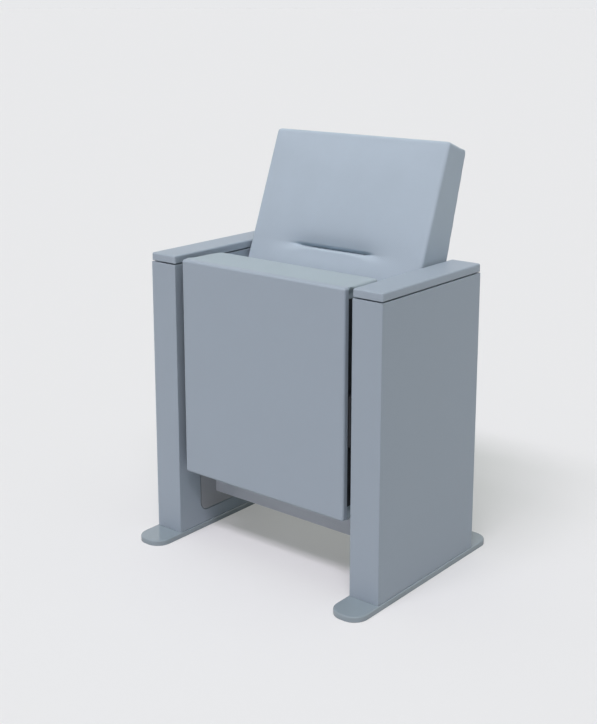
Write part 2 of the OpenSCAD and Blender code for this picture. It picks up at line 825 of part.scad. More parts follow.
// Shares up to this one run from the foot to the crease, and the rest from there to the top
crease_share = 0.4435;
back_level_shares = [
  0.04, 0.17, 0.3, 0.36, 0.4, 0.425, 0.436, crease_share,
  0.451, 0.465, 0.485, 0.52, 0.6, 0.7, 0.82, 0.93
];
back_levels = concat(
  [for (share = edge_shares) back_r * share - back_len],
  [for (s = back_level_shares) back_level(s)],
  [for (i = [len(edge_shares) - 1 : -1 : 0]) -back_r * edge_shares[i]]
);
function back_level(s) = s <= crease_share
  ? -back_len + (back_len - crease_down) * s / crease_share
  : -crease_down * (1 - s) / (1 - crease_share);

// Draws a piece of the back in the frame of its rear face, with the top rear edge at the origin
module on_back_rear() {
  in_back() translate([0, back_top_t, 0]) rotate([back_taper, 0, 0]) children();
}

// Rear face of the back: its length along the slope and its panel's outline
rear_len = back_len / cos(back_taper);
rear_panel_w = back_w - 2 * rear_panel_edge;
rear_panel_h = rear_len - 2 * rear_panel_edge;
rear_boss_share = 0.25;
rear_boss_x = back_w * rear_boss_share;
rear_boss_up = [-back_rail_top - cross_h / 2, -back_len + back_rail_foot + cross_h / 2];

module rear_panel_plate(grow, depth) {
  on_back_rear() translate([0, cut, -rear_len / 2]) rotate([90, 0, 0])
    linear_extrude(height = depth + cut)
      round_rect(rear_panel_w + 2 * grow, rear_panel_h + 2 * grow, rear_panel_r + grow);
}

module rear_bosses(grow) {
  in_back() for (sx = [-1, 1], up = rear_boss_up)
    translate([sx * rear_boss_x, back_rail_rear, up]) rotate([-90, 0, 0])
      cylinder(h = back_rear(up) - rear_panel_t / 2 - back_rail_rear, r = rear_boss_r + grow);
}

module back_cushion() {
  color(padding_blue) difference() {
    in_back() ring_skin([for (up = back_levels) back_ring(up)]);
    in_back() back_frame_bars(soft_fit);
    rear_panel_plate(soft_fit, rear_panel_t + soft_fit);
    rear_bosses(soft_fit);
    both_sides() in_back() {
      along_x(back_hinge_x - soft_fit, back_pivot_place)
        intersection() {
          cylinder(h = hinge_t + soft_fit + cut, r = hinge_r + soft_fit);
          translate([-back_hinge_front - soft_fit, -back_hinge_foot - soft_fit, -cut])
            cube([
              back_hinge_front + hinge_r + 2 * soft_fit, back_hinge_foot + hinge_r + 2 * soft_fit,
              hinge_t + 4 * cut
            ]);
        }
      rod(back_rail_x - cut, back_x, back_pivot_place, boss_r + soft_fit);
      for (s = back_screws)
        rod(back_rail_x - cut, back_x, back_pivot_place + s, screw_boss_r + soft_fit);
    }
  }
}

// Outline bars of the back frame in the back's own frame, grown by a clearance
module back_frame_bars(grow) {
  both_sides()
    block(
      [back_rail_x - rail_w - grow, back_rail_in - grow, -back_len + back_rail_foot - grow],
      [back_rail_x + grow, back_rail_rear + grow, -back_rail_top + grow]
    );
  for (z = [-back_len + back_rail_foot, -back_rail_top - cross_h])
    block(
      [-back_rail_x + rail_w / 2, back_rail_in - grow, z - grow],
      [back_rail_x - rail_w / 2, back_rail_rear + grow, z + cross_h + grow]
    );
}

// Tube frame inside the back, with solid bosses for the pivot and the hinge screws
module back_frame() {
  color(steel) in_back() difference() {
    union() {
      difference() {
        back_frame_bars(0);
        both_sides()
          block(
            [back_rail_x - rail_w + rail_wall, back_rail_in + rail_wall, -back_len + back_rail_foot - cut],
            [back_rail_x - rail_wall, back_rail_rear - rail_wall, -back_rail_top + cut]
          );
        for (z = [-back_len + back_rail_foot, -back_rail_top - cross_h])
          block(
            [-back_hollow_x, back_rail_in + rail_wall, z + rail_wall],
            [back_hollow_x, back_rail_rear - rail_wall, z + cross_h - rail_wall]
          );
      }
      both_sides() {
        rod(back_boss_x, back_hinge_x, back_pivot_place, boss_r);
        for (s = back_screws) rod(back_boss_x, back_hinge_x, back_pivot_place + s, screw_boss_r);
      }
    }
    both_sides() {
      drill(back_rail_x - rail_w, back_hinge_x, back_pivot_place, pin_r + push_fit);
      for (s = back_screws)
        drill(back_rail_x - rail_w, back_hinge_x, back_pivot_place + s, bolt_r + push_fit);
    }
    for (sx = [-1, 1], up = rear_boss_up)
      translate([sx * rear_boss_x, back_rail_rear - rail_wall - cut, up]) rotate([-90, 0, 0])
        cylinder(h = rail_wall + 2 * cut, r = screw_r + push_fit);
  }
}

// Rear panel set in the padding, with bosses that reach the frame
module back_rear_panel() {
  color(casing_blue) difference() {
    union() {
      intersection() {
        rear_panel_plate(0, rear_panel_t);
        on_back_rear()
          block([-back_w, -2 * rear_panel_t, -2 * rear_len], [back_w, 0, rear_len]);
      }
      rear_bosses(0);
    }
    in_back() for (sx = [-1, 1], up = rear_boss_up)
      translate([sx * rear_boss_x, back_rail_in, up]) rotate([-90, 0, 0]) {
        cylinder(h = back_rear(up), r = screw_r + pass_fit);
        translate([0, 0, back_rear(up) - back_rail_in - screw_head_t - cut])
          cylinder(h = screw_head_t + 3 * cut, r = screw_head_r + pass_fit);
      }
  }
}

// Hinge plate let into the back's side
module back_hinge_plate() {
  color(steel) in_back() along_x(back_hinge_x, back_pivot_place)
    hinge_disc(back_hinge_front, back_hinge_foot, back_stop_angle, back_range, back_screws);
}

module back_pivot_pin() {
  pivot_pin(back_rail_x - rail_w, back_x, bush_end_x + bush_tail, back_pivot, false);
}

// Screws of the back's hinge plates, with thin heads in the gap
back_head_t = 2.5;
module back_hinge_screws() {
  color(bright_steel) both_sides() in_back() for (s = back_screws) {
    rod(back_hinge_x - bolt_bite, back_x + cut, back_pivot_place + s, bolt_r);
    rod(back_x, back_x + back_head_t, back_pivot_place + s, button_head_r);
  }
}

// Screws through the rear panel's bosses into the back frame
module back_panel_screws() {
  color(bright_steel) in_back() for (sx = [-1, 1], up = rear_boss_up)
    translate([sx * rear_boss_x, back_rail_rear - screw_bite, up]) rotate([-90, 0, 0]) {
      cylinder(
        h = back_rear(up) - back_rail_rear + screw_bite - screw_head_t,
        r = screw_r
      );
      translate([0, 0, back_rear(up) - back_rail_rear + screw_bite - screw_head_t - cut])
        cylinder(h = screw_head_t, r = screw_head_r);
    }
}

handed("left") base_plate();  // left_base_plate
handed("right") base_plate();  // right_base_plate
handed("left") side_frame();  // left_side_frame
handed("right") side_frame();  // right_side_frame
handed("left") inner_board();  // left_inner_board
handed("right") inner_board();  // right_inner_board
handed("left") outer_board();  // left_outer_board
handed("right") outer_board();  // right_outer_board
handed("left") end_board(-1);  // left_front_board
handed("right") end_board(-1);  // right_front_board
handed("left") end_board(1);  // left_rear_board
handed("right") end_board(1);  // right_rear_board
handed("left") armrest_cap();  // left_armrest_cap
handed("right") armrest_cap();  // right_armrest_cap
handed("left") inner_cover();  // left_inner_cover
handed("right") inner_cover();  // right_inner_cover
handed("left") bush(seat_pivot);  // left_seat_bush
handed("right") bush(seat_pivot);  // right_seat_bush
handed("left") bush(back_pivot);  // left_back_bush
handed("right") bush(back_pivot);  // right_back_bush
handed("left") return_spring();  // left_return_spring
handed("right") return_spring();  // right_return_spring
handed("left") stop_pin(seat_hinge_x + stop_reach, seat_stop);  // left_seat_stop_pin
handed("right") stop_pin(seat_hinge_x + stop_reach, seat_stop);  // right_seat_stop_pin
handed("left") stop_sleeve(seat_hinge_x + stop_reach, seat_stop);  // left_seat_stop_sleeve
handed("right") stop_sleeve(seat_hinge_x + stop_reach, seat_stop);  // right_seat_stop_sleeve
handed("left") stop_pin(back_hinge_x + stop_reach, back_stop);  // left_back_stop_pin
handed("right") stop_pin(back_hinge_x + stop_reach, back_stop);  // right_back_stop_pin
handed("left") stop_sleeve(back_hinge_x + stop_reach, back_stop);  // left_back_stop_sleeve
handed("right") stop_sleeve(back_hinge_x + stop_reach, back_stop);  // right_back_stop_sleeve
crossbar();
crossbar_end_plates();
crossbar_bolts();
cap_screws();
casing_screws();
cover_nuts();
seat_underpanel();
seat_cushion();
seat_frame();
handed("left") seat_hinge_plate();  // left_seat_hinge_plate
handed("right") seat_hinge_plate();  // right_seat_hinge_plate
handed("left") seat_pivot_pin();  // left_seat_pivot_pin
handed("right") seat_pivot_pin();  // right_seat_pivot_pin
seat_hinge_screws();
seat_panel_screws();
back_cushion();
back_frame();
back_rear_panel();
handed("left") back_hinge_plate();  // left_back_hinge_plate
handed("right") back_hinge_plate();  // right_back_hinge_plate
handed("left") back_pivot_pin();  // left_back_pivot_pin
handed("right") back_pivot_pin();  // right_back_pivot_pin
back_hinge_screws();
back_panel_screws();
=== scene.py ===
"""Dressed model of a tip up auditorium seat: finishes, upholstery, fittings, studio and camera.

Lengths in the classes are millimetres, as in the part's source, and become metres where a mesh is made.
"""
import logging
import math
from dataclasses import dataclass, field
from enum import Enum
from typing import Callable, Iterable, Sequence

import bpy
import numpy as np
from mathutils import Matrix, Vector
from mathutils.bvhtree import BVHTree


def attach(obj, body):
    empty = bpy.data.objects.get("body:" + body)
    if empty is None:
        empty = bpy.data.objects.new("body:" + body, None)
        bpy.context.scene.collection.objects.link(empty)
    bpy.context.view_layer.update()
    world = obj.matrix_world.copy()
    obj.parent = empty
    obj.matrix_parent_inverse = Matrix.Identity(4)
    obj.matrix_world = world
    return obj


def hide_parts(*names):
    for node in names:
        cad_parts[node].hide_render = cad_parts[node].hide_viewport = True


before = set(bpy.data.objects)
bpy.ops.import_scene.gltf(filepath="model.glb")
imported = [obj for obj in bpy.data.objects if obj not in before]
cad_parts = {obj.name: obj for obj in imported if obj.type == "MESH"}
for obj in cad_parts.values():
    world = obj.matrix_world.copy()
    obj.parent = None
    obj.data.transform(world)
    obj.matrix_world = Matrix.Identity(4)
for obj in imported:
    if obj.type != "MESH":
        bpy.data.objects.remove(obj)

LOG = logging.getLogger("auditorium_seat")
MM = 0.001
Socket = bpy.types.NodeSocket
Point = tuple[float, float, float]
Faces = list[tuple[int, ...]]
Skin = tuple[np.ndarray, Faces]

# Edges that bend by more than this are eased, and faces that bend by less are joined, in degrees
SHARP_BEND = 40
FLAT_BEND = 1
# Edges up to this length belong to the rims of screw holes, in millimetres
SHORT_EDGE_MM = 1.0
# Points closer than this in a carried over mesh are one, in millimetres
WELD_MM = 0.01
# Range of both noises of a finish together, range of the slow one, and shares that roughness drifts by
TONE_RANGE = (0.45, 1.05)
SLOW_RANGE = (0.3, 0.7)
ROUGH_SHARES = (0.93, 1.07)
SHEEN_ROUGHNESS = 0.45
# Where rings stand round a padded edge, as shares of its radius, and rings and columns of the faces
EDGE_SHARES = (0.0, 0.09, 0.33, 0.65, 1.0)
FACE_RINGS = 24
FACE_COLUMNS = 26
# How squarely a crowned face falls off to its ends
CROWN_POWER = 3
# Steps in a quarter turn of a round corner
CORNER_STEPS = 12


class Body(Enum):
    """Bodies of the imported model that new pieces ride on."""

    SEAT = "seat"
    BACK = "back"


class Slot(Enum):
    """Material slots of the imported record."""

    UPHOLSTERY = "upholstery"


class Side(Enum):
    """The two sides of the seat, as seen from the front."""

    LEFT = "left"
    RIGHT = "right"


def linear(hex_code: str) -> tuple[float, float, float, float]:
    """Turn an sRGB hex value to a linear colour.

    Args:
        hex_code: Colour as "#RRGGBB".

    Returns:
        Red, green and blue from 0 to 1 in linear light, and an alpha of 1.
    """
    shares = [int(hex_code[i:i + 2], 16) / 255 for i in (1, 3, 5)]
    red, green, blue = (c / 12.92 if c <= 0.04045 else ((c + 0.055) / 1.055) ** 2.4 for c in shares)
    return red, green, blue, 1.0


def add_node(
    tree: bpy.types.NodeTree,
    kind: str,
    settings: dict[str, object] | None = None,
    inputs: dict[str | int, object] | None = None,
) -> bpy.types.Node:
    """Add a node with its settings, values and links.

    Args:
        tree: Tree that the node joins.
        kind: The node's type, such as "ShaderNodeMath".
        settings: Values of the node's own properties.
        inputs: A value, or a socket to link from, for each input by name or number.

    Returns:
        The new node.
    """
    node = tree.nodes.new(kind)
    for name, value in (settings or {}).items():
        setattr(node, name, value)
    for key, value in (inputs or {}).items():
        if isinstance(value, Socket):
            tree.links.new(value, node.inputs[key])
        else:
            node.inputs[key].default_value = value
    return node


@dataclass(frozen=True)
class Finish:
    """A real material with the way its surface was made.

    The surface has a fine relief, whose form each kind of finish draws in its own way, and a slow
    drift of tone, so that no face is one flat colour.

    Attributes:
        name: The material's name.
        hex_code: Its colour.
        roughness: Its roughness, which drifts a little too.
        ior: Its index of refraction.
        metallic: 1 for bare metal, 0 for all else.
        relief_mm: Height of the relief.
        grain_mm: Width of one bump, thread or pit.
        drift_mm: Width of one cloud of the drift.
        drift: How much lighter and darker the drift gets.
        sheen: Weight of the sheen of loose fibre ends.
    """

    name: str
    hex_code: str
    roughness: float
    ior: float = 1.5
    metallic: float = 0.0
    relief_mm: float = 0.02
    grain_mm: float = 1.0
    drift_mm: float = 90.0
    drift: float = 0.03
    sheen: float = 0.0

    def relief(self, tree: bpy.types.NodeTree, place: Socket, facing: Socket) -> Socket:
        """Draw the height from about 0 to 1, at a place in metres, as an even grain of soft bumps."""
        return add_node(tree, "ShaderNodeTexNoise", None, {
            "Vector": place, "Scale": 1 / (self.grain_mm * MM), "Detail": 2.0, "Roughness": 0.55,
        }).outputs["Fac"]

    def material(self) -> bpy.types.Material:
        """Make the material, or fetch it if it is there already.

        Returns:
            The material, named for what it is.
        """
        known = bpy.data.materials.get(self.name)
        if known:
            return known
        material = bpy.data.materials.new(self.name)
        material.use_nodes = True
        tree = material.node_tree
        tree.nodes.clear()
        source = add_node(tree, "ShaderNodeTexCoord")
        place, facing = source.outputs["Object"], source.outputs["Normal"]
        height = self.relief(tree, place, facing)
        slow = add_node(tree, "ShaderNodeTexNoise", None, {
            "Vector": place, "Scale": 1 / (self.drift_mm * MM), "Detail": 3.0, "Roughness": 0.6,
        }).outputs["Fac"]
        tone = add_node(tree, "ShaderNodeMath", {"operation": "MULTIPLY_ADD"}, {0: height, 1: 0.5, 2: slow})
        red, green, blue, alpha = linear(self.hex_code)
        low, high = 1 - self.drift, 1 + self.drift
        colour = add_node(tree, "ShaderNodeMix", {"data_type": "RGBA"}, {
            "Factor": add_node(tree, "ShaderNodeMapRange", None, {
                "Value": tone.outputs[0], "From Min": TONE_RANGE[0], "From Max": TONE_RANGE[1],
            }).outputs["Result"],
            6: (red * low, green * low, blue * low, alpha),
            7: (red * high, green * high, blue * high, alpha),
        })
        rough = add_node(tree, "ShaderNodeMapRange", None, {
            "Value": slow, "From Min": SLOW_RANGE[0], "From Max": SLOW_RANGE[1],
            "To Min": self.roughness * ROUGH_SHARES[0], "To Max": min(1.0, self.roughness * ROUGH_SHARES[1]),
        })
        bump = add_node(tree, "ShaderNodeBump", None, {
            "Strength": 1.0, "Distance": self.relief_mm * MM, "Height": height,
        })
        shader = add_node(tree, "ShaderNodeBsdfPrincipled", None, {
            "Base Color": colour.outputs[2], "Metallic": self.metallic, "IOR": self.ior,
            "Roughness": rough.outputs["Result"], "Normal": bump.outputs["Normal"],
            "Sheen Weight": self.sheen, "Sheen Roughness": SHEEN_ROUGHNESS,
        })
        add_node(tree, "ShaderNodeOutputMaterial", None, {"Surface": shader.outputs["BSDF"]})
        return material


@dataclass(frozen=True)
class WovenCloth(Finish):
    """Plain weave: warp over weft and weft over warp, a small round bump at each crossing."""

    def relief(self, tree: bpy.types.NodeTree, place: Socket, facing: Socket) -> Socket:
        """Draw the weave on each face along the two axes that lie in it.

        Args:
            tree: The material's tree.
            place: Place on the object in metres.
            facing: Normal in the object's own axes.

        Returns:
            Height from 0 to 1.
        """
        turns = add_node(tree, "ShaderNodeVectorMath", {"operation": "SCALE"}, {
            0: place, "Scale": math.pi / (self.grain_mm * MM),
        })
        waves = add_node(tree, "ShaderNodeVectorMath", {"operation": "SINE"}, {0: turns.outputs[0]})
        axes = add_node(tree, "ShaderNodeSeparateXYZ", None, {0: waves.outputs[0]}).outputs
        crossings = [
            add_node(tree, "ShaderNodeMath", {"operation": "MULTIPLY"}, {0: axes[a], 1: axes[b]}).outputs[0]
            for a, b in ((1, 2), (0, 2), (0, 1))
        ]
        weave = add_node(tree, "ShaderNodeCombineXYZ", None, dict(enumerate(crossings)))
        share = add_node(tree, "ShaderNodeVectorMath", {"operation": "MULTIPLY"}, {0: facing, 1: facing})
        height = add_node(tree, "ShaderNodeVectorMath", {"operation": "DOT_PRODUCT"}, {
            0: weave.outputs[0], 1: share.outputs[0],
        })
        return add_node(tree, "ShaderNodeMath", {"operation": "MULTIPLY_ADD"}, {
            0: height.outputs["Value"], 1: 0.5, 2: 0.5,
        }).outputs[0]


@dataclass(frozen=True)
class SparkGrain(Finish):
    """Moulded plastic whose tool was spark eroded: close round pits of even size."""

    def relief(self, tree: bpy.types.NodeTree, place: Socket, facing: Socket) -> Socket:
        """Draw the height from 0 to about 1, at a place in metres, as the pits of the tool."""
        return add_node(tree, "ShaderNodeTexVoronoi", {"feature": "SMOOTH_F1"}, {
            "Vector": place, "Scale": 1 / (self.grain_mm * MM), "Smoothness": 0.6,
        }).outputs["Distance"]


# Lacquer sprayed on fibreboard dries with a soft orange peel, 3 to 5 mm across and a hundredth deep:
# the faces are calm and satin, and only a low light shows that they were sprayed
LACQUERED_BOARD = Finish(
    "satin_lacquer_on_fibreboard", "#9FABB5", 0.48, relief_mm=0.012, grain_mm=4.0, drift=0.012,
)
# Powder baked on a thick steel plate flows out to a gloss that mirrors what stands on it. Its faint
# pebbles are 0.5 mm across and are drawn at 1.6 mm
POWDER_COAT = Finish(
    "powder_coat_on_plate_steel", "#8B989E", 0.12, ior=1.7, relief_mm=0.004, grain_mm=1.6, drift=0.02,
)
# The crossbar's powder is flatter, with a fine pebbled skin. Its colour is paler than the other steel's to
# brighten it in the shade under the seat: painted light
POWDER_COAT_MATT = Finish(
    "matt_powder_coat_on_steel_tube", "#C8CDD5", 0.52, relief_mm=0.03, grain_mm=1.6, drift=0.02,
)
# The thin cover plates beside the seat and the pressed side frames have a plain grey powder, quite flat. On
# the side frames the paleness is also painted light: it lifts the dark shadow gap under the caps, where their
# flange shows
POWDER_COAT_GREY = Finish(
    "grey_powder_coat_on_sheet_steel", "#A2A5A9", 0.55, relief_mm=0.03, grain_mm=1.6, drift=0.02,
)
# Polypropylene from a spark eroded tool: a matt skin of close pits, 0.4 mm in life and drawn at 1.5 mm
MOULDED_SHELL = SparkGrain(
    "grained_moulded_polypropylene", "#A0ACB6", 0.5, relief_mm=0.04, grain_mm=1.5, drift=0.012,
)
# Polyester yarn in a plain weave of 1 mm threads, drawn at 2.4 mm so that the crossings just show,
# with loose fibre ends that catch the light at the edges
WOVEN_POLYESTER = WovenCloth(
    "woven_polyester_upholstery", "#B1BFC9", 0.85, relief_mm=0.16, grain_mm=2.4, drift=0.03, sheen=0.12,
)
# The seat's cover is a closer and harder twisted weave. It is one tone deeper and less blue than the back's
# cloth: a shaded copy of the same cloth, matched to how the seat's top end looks under the light from above,
# so painted shade
SEAT_WEAVE_WITH_PAINTED_SHADE = WovenCloth(
    "hard_twisted_polyester_seat_cover", "#A6B4BA", 0.8, relief_mm=0.12, grain_mm=2.0, drift=0.03, sheen=0.1,
)
# The welt is the same cloth cut on the bias round a cord, a little darker where it is pulled tight
BIAS_WELT = WovenCloth(
    "bias_cut_polyester_welt", "#909DA8", 0.85, relief_mm=0.12, grain_mm=1.8, drift=0.05, sheen=0.1,
)
# Bonded polyester sewing thread, twisted and slightly glossy, one tone deeper than the cloth
SEWING_THREAD = Finish("bonded_polyester_thread", "#82909D", 0.5, relief_mm=0.1, grain_mm=0.8, drift=0.06)
# Pressed and tube steel in black dip paint: thin, a little uneven, with a low gloss
BLACK_PAINTED_STEEL = Finish(
    "black_dip_painted_steel", "#2A2B2D", 0.45, relief_mm=0.03, grain_mm=3.0, drift=0.2,
)
# Turned steel under bright zinc: a pale metal with a faint cloudy bloom
ZINC_PLATED_STEEL = Finish(
    "bright_zinc_plated_steel", "#C9CCD0", 0.3, metallic=1.0,
    relief_mm=0.006, grain_mm=1.2, drift_mm=12.0, drift=0.08,
)
# Oil tempered spring wire: a darker, bluish scale that is uneven from the bath
SPRING_WIRE = Finish(
    "oil_tempered_spring_wire", "#7C8087", 0.38, metallic=1.0,
    relief_mm=0.02, grain_mm=1.0, drift_mm=8.0, drift=0.15,
)
# Natural polyamide bushes: creamy, with the soft gloss of a finely eroded tool
MOULDED_NYLON = SparkGrain(
    "natural_moulded_polyamide", "#DAD6C8", 0.4, ior=1.53, relief_mm=0.01, grain_mm=1.0,
)
# Nitrile sleeves: black, matt, with the fine bloom of moulded rubber
NITRILE_RUBBER = Finish(
    "moulded_nitrile_rubber", "#222325", 0.75, ior=1.52, relief_mm=0.03, grain_mm=0.8, drift=0.25,
)


def outer_edges(low_mm: float, low_share: float) -> bpy.types.NodeTree:
    """Make a modifier's tree that marks which edges are eased, and how far.

    Sharp edges are eased, but not the short ones that make up the rims of screw holes.

    Args:
        low_mm: Edges under this height are eased less.
        low_share: The share that they are eased by.

    Returns:
        The tree, which stores the share on each edge.
    """
    tree = bpy.data.node_groups.new("outer_edges", "GeometryNodeTree")
    tree.interface.new_socket("Geometry", in_out="INPUT", socket_type="NodeSocketGeometry")
    tree.interface.new_socket("Geometry", in_out="OUTPUT", socket_type="NodeSocketGeometry")
    entry = add_node(tree, "NodeGroupInput")
    bend = add_node(tree, "GeometryNodeInputMeshEdgeAngle")
    ends = add_node(tree, "GeometryNodeInputMeshEdgeVertices")
    first, second = ends.outputs["Position 1"], ends.outputs["Position 2"]
    length = add_node(tree, "ShaderNodeVectorMath", {"operation": "DISTANCE"}, {0: first, 1: second})
    sharp = add_node(tree, "ShaderNodeMath", {"operation": "GREATER_THAN"}, {
        0: bend.outputs["Unsigned Angle"], 1: math.radians(SHARP_BEND),
    })
    long = add_node(tree, "ShaderNodeMath", {"operation": "GREATER_THAN"}, {
        0: length.outputs["Value"], 1: SHORT_EDGE_MM * MM,
    })
    # The sum of an edge's two ends is twice its middle
    both = add_node(tree, "ShaderNodeVectorMath", None, {0: first, 1: second})
    height = add_node(tree, "ShaderNodeSeparateXYZ", None, {0: both.outputs[0]}).outputs["Z"]
    low = add_node(tree, "ShaderNodeMath", {"operation": "LESS_THAN"}, {0: height, 1: 2 * low_mm * MM})
    marked = add_node(tree, "ShaderNodeMath", {"operation": "MULTIPLY_ADD"}, {
        0: low.outputs[0], 1: low_share - 1, 2: 1.0,
    })
    for mark in (sharp, long):
        marked = add_node(tree, "ShaderNodeMath", {"operation": "MULTIPLY"}, {
            0: marked.outputs[0], 1: mark.outputs[0],
        })
    store = add_node(tree, "GeometryNodeStoreNamedAttribute", {"data_type": "FLOAT", "domain": "EDGE"}, {
        "Geometry": entry.outputs[0], "Name": "bevel_weight_edge", "Value": marked.outputs[0],
    })
    add_node(tree, "NodeGroupOutput", None, {0: store.outputs["Geometry"]})
    return tree


def dress(
    nodes: Iterable[str],
    finish: Finish,
    edge_mm: float = 0.0,
    steps: int = 3,
    low_mm: float = -1.0,
    low_share: float = 0.2,
) -> None:
    """Give carried over CAD nodes their finish, and ease their outer edges.

    Args:
        nodes: Names of the nodes.
        finish: The finish that they take.
        edge_mm: Radius of the eased edges, or 0 for none.
        steps: Facets round an eased edge.
        low_mm: Edges under this height are eased less.
        low_share: The share that they are eased by.
    """
    for name in nodes:
        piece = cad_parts[name]
        if not piece.material_slots:
            piece.data.materials.append(finish.material())
        for material_slot in piece.material_slots:
            material_slot.material = finish.material()
        if edge_mm:
            weld = piece.modifiers.new("closed_skin", "WELD")
            weld.merge_threshold = WELD_MM * MM
            flat = piece.modifiers.new("flat_faces", "DECIMATE")
            flat.decimate_type = "DISSOLVE"
            flat.angle_limit = math.radians(FLAT_BEND)
            marks = piece.modifiers.new("outer_edges", "NODES")
            marks.node_group = outer_edges(low_mm, low_share)
            ease = piece.modifiers.new("eased_edges", "BEVEL")
            ease.width = edge_mm * MM
            ease.segments = steps
            ease.limit_method = "WEIGHT"
            ease.loop_slide = False
            normals = piece.modifiers.new("even_light", "WEIGHTED_NORMAL")
            normals.keep_sharp = False
        LOG.info("%s: %s, edges eased by %.1f mm", name, finish.name, edge_mm)


def new_piece(
    name: str, points: np.ndarray, faces: Sequence[Sequence[int]], finish: Finish,
) -> bpy.types.Object:
    """Make a smooth shaded piece from its points and faces.

    Args:
        name: The piece's name.
        points: Points in metres, one row each.
        faces: Point numbers of each face.
        finish: The piece's finish.

    Returns:
        The new object, linked to the scene.
    """
    mesh = bpy.data.meshes.new(name)
    mesh.from_pydata([tuple(p) for p in points], [], [tuple(f) for f in faces])
    mesh.validate()
    mesh.polygons.foreach_set("use_smooth", [True] * len(mesh.polygons))
    mesh.materials.append(finish.material())
    piece = bpy.data.objects.new(name, mesh)
    bpy.context.scene.collection.objects.link(piece)
    return piece


def ring_faces(rings: int, sides: int, closed: bool = False) -> Faces:
    """List the faces of a skin over rings of points.

    Args:
        rings: Number of rings.
        sides: Points in each ring.
        closed: True where the last ring joins the first, False where both ends are capped.

    Returns:
        Point numbers of each face.
    """
    faces: Faces = []
    for i in range(rings if closed else rings - 1):
        j = (i + 1) % rings
        for k in range(sides):
            m = (k + 1) % sides
            faces.append((i * sides + k, i * sides + m, j * sides + m, j * sides + k))
    if not closed:
        faces.append(tuple(range(sides))[::-1])
        faces.append(tuple(range((rings - 1) * sides, rings * sides)))
    return faces


def welt(route: np.ndarray, out: np.ndarray, radius: float, sides: int = 10) -> Skin:
    """Lay a round cord along a closed route in one plane.

    Args:
        route: Points of the route, one row each.
        out: Normal of the route's plane.
        radius: The cord's radius, in the route's units.
        sides: Points round the cord.

    Returns:
        The cord's points and faces.
    """
    ahead = np.roll(route, -1, 0) - np.roll(route, 1, 0)
    ahead /= np.linalg.norm(ahead, axis=1, keepdims=True)
    across = np.cross(ahead, out)
    turn = np.arange(sides) * 2 * math.pi / sides
    ring = route[:, None, :] + radius * (
        np.cos(turn)[None, :, None] * across[:, None, :] + np.sin(turn)[None, :, None] * out[None, None, :]
    )
    return ring.reshape(-1, 3), ring_faces(len(route), sides, closed=True)


def round_route(width: float, height: float, radius: float, pitch: float) -> np.ndarray:
    """Walk round a rectangle with round corners, centred on the origin.

    Args:
        width: Its width.
        height: Its height.
        radius: Its corner radius.
        pitch: Distance between the points.

    Returns:
        Points in two dimensions, one row each, evenly spaced.
    """
    corners = []
    for sx, sy, start in ((1, 1, 0), (-1, 1, 90), (-1, -1, 180), (1, -1, 270)):
        for step in range(CORNER_STEPS + 1):
            angle = math.radians(start + 90 / CORNER_STEPS * step)
            corners.append((
                sx * (width / 2 - radius) + radius * math.cos(angle),
                sy * (height / 2 - radius) + radius * math.sin(angle),
            ))
    line = np.array(corners + corners[:1])
    run = np.r_[0, np.cumsum(np.linalg.norm(np.diff(line, axis=0), axis=1))]
    stops = np.linspace(0, run[-1], int(run[-1] / pitch), endpoint=False)
    return np.stack([np.interp(stops, run, line[:, 0]), np.interp(stops, run, line[:, 1])], 1)


def round_distance(
    across: np.ndarray, up: np.ndarray, width: float, height: float, radius: float,
) -> np.ndarray:
    """Measure how far points lie outside a rectangle with round corners.

    Args:
        across: Places across, from the rectangle's middle.
        up: Places up, from the rectangle's middle.
        width: Its width.
        height: Its height.
        radius: Its corner radius.

    Returns:
        Distances from its line, below 0 inside it.
    """
    a = np.abs(across) - (width / 2 - radius)
    b = np.abs(up) - (height / 2 - radius)
    outside = np.hypot(np.maximum(a, 0), np.maximum(b, 0))
    return outside + np.minimum(np.maximum(a, b), 0) - radius


def edge_in(near: np.ndarray | float, radius: float) -> np.ndarray:
    """Say how far a round edge has drawn in, near its end face. It is 0 beyond the edge."""
    rest = np.clip(radius - np.asarray(near, float), 0, radius)
    return radius - np.sqrt(radius * radius - rest * rest)


def smooth_step(low: float, high: float, value: np.ndarray) -> np.ndarray:
    """Rise smoothly from 0, where a value is low or less, to 1, where it is high or more."""
    share = np.clip((value - low) / (high - low), 0, 1)
    return share * share * (3 - 2 * share)


def fade(across: np.ndarray, long: float, power: int) -> np.ndarray:
    """Fall from 1 in the middle of a length that is centred on 0, past a half at its ends, to 0."""
    return 1 / (1 + np.abs(2 * across / long) ** power)


def crowned(place: float) -> float:
    """Rise from 0 at both ends of a face, at -1 and 1, to 1 in its middle."""
    return 1 - abs(place) ** CROWN_POWER


def points_of(mesh: bpy.types.Mesh) -> np.ndarray:
    """Read a mesh's points.

    Args:
        mesh: The mesh.

    Returns:
        Their places in millimetres, one row each.
    """
    places = np.empty(len(mesh.vertices) * 3, np.float32)
    mesh.vertices.foreach_get("co", places)
    return places.reshape(-1, 3).astype(float) / MM


def set_points(mesh: bpy.types.Mesh, places: np.ndarray) -> None:
    """Put a mesh's points at places given in millimetres, one row each."""
    mesh.vertices.foreach_set("co", (places * MM).astype(np.float32).ravel())
    mesh.update()


def spread(mesh: bpy.types.Mesh, values: np.ndarray, rounds: int) -> np.ndarray:
    """Even out values over a mesh's points, each with its neighbours.

    Args:
        mesh: The mesh.
        values: One row of values for each point.
        rounds: How often each point takes half of its neighbours' mean.

    Returns:
        The evened values.
    """
    ends = np.empty(len(mesh.edges) * 2, np.int32)
    mesh.edges.foreach_get("vertices", ends)
    ends = ends.reshape(-1, 2)
    near = np.bincount(ends.ravel(), minlength=len(values))[:, None]
    for _ in range(rounds):
        total = np.stack([
            np.bincount(ends[:, 0], values[ends[:, 1], k], len(values))
            + np.bincount(ends[:, 1], values[ends[:, 0], k], len(values))
            for k in range(values.shape[1])
        ], 1)
        values = (values + total / near) / 2
    return values


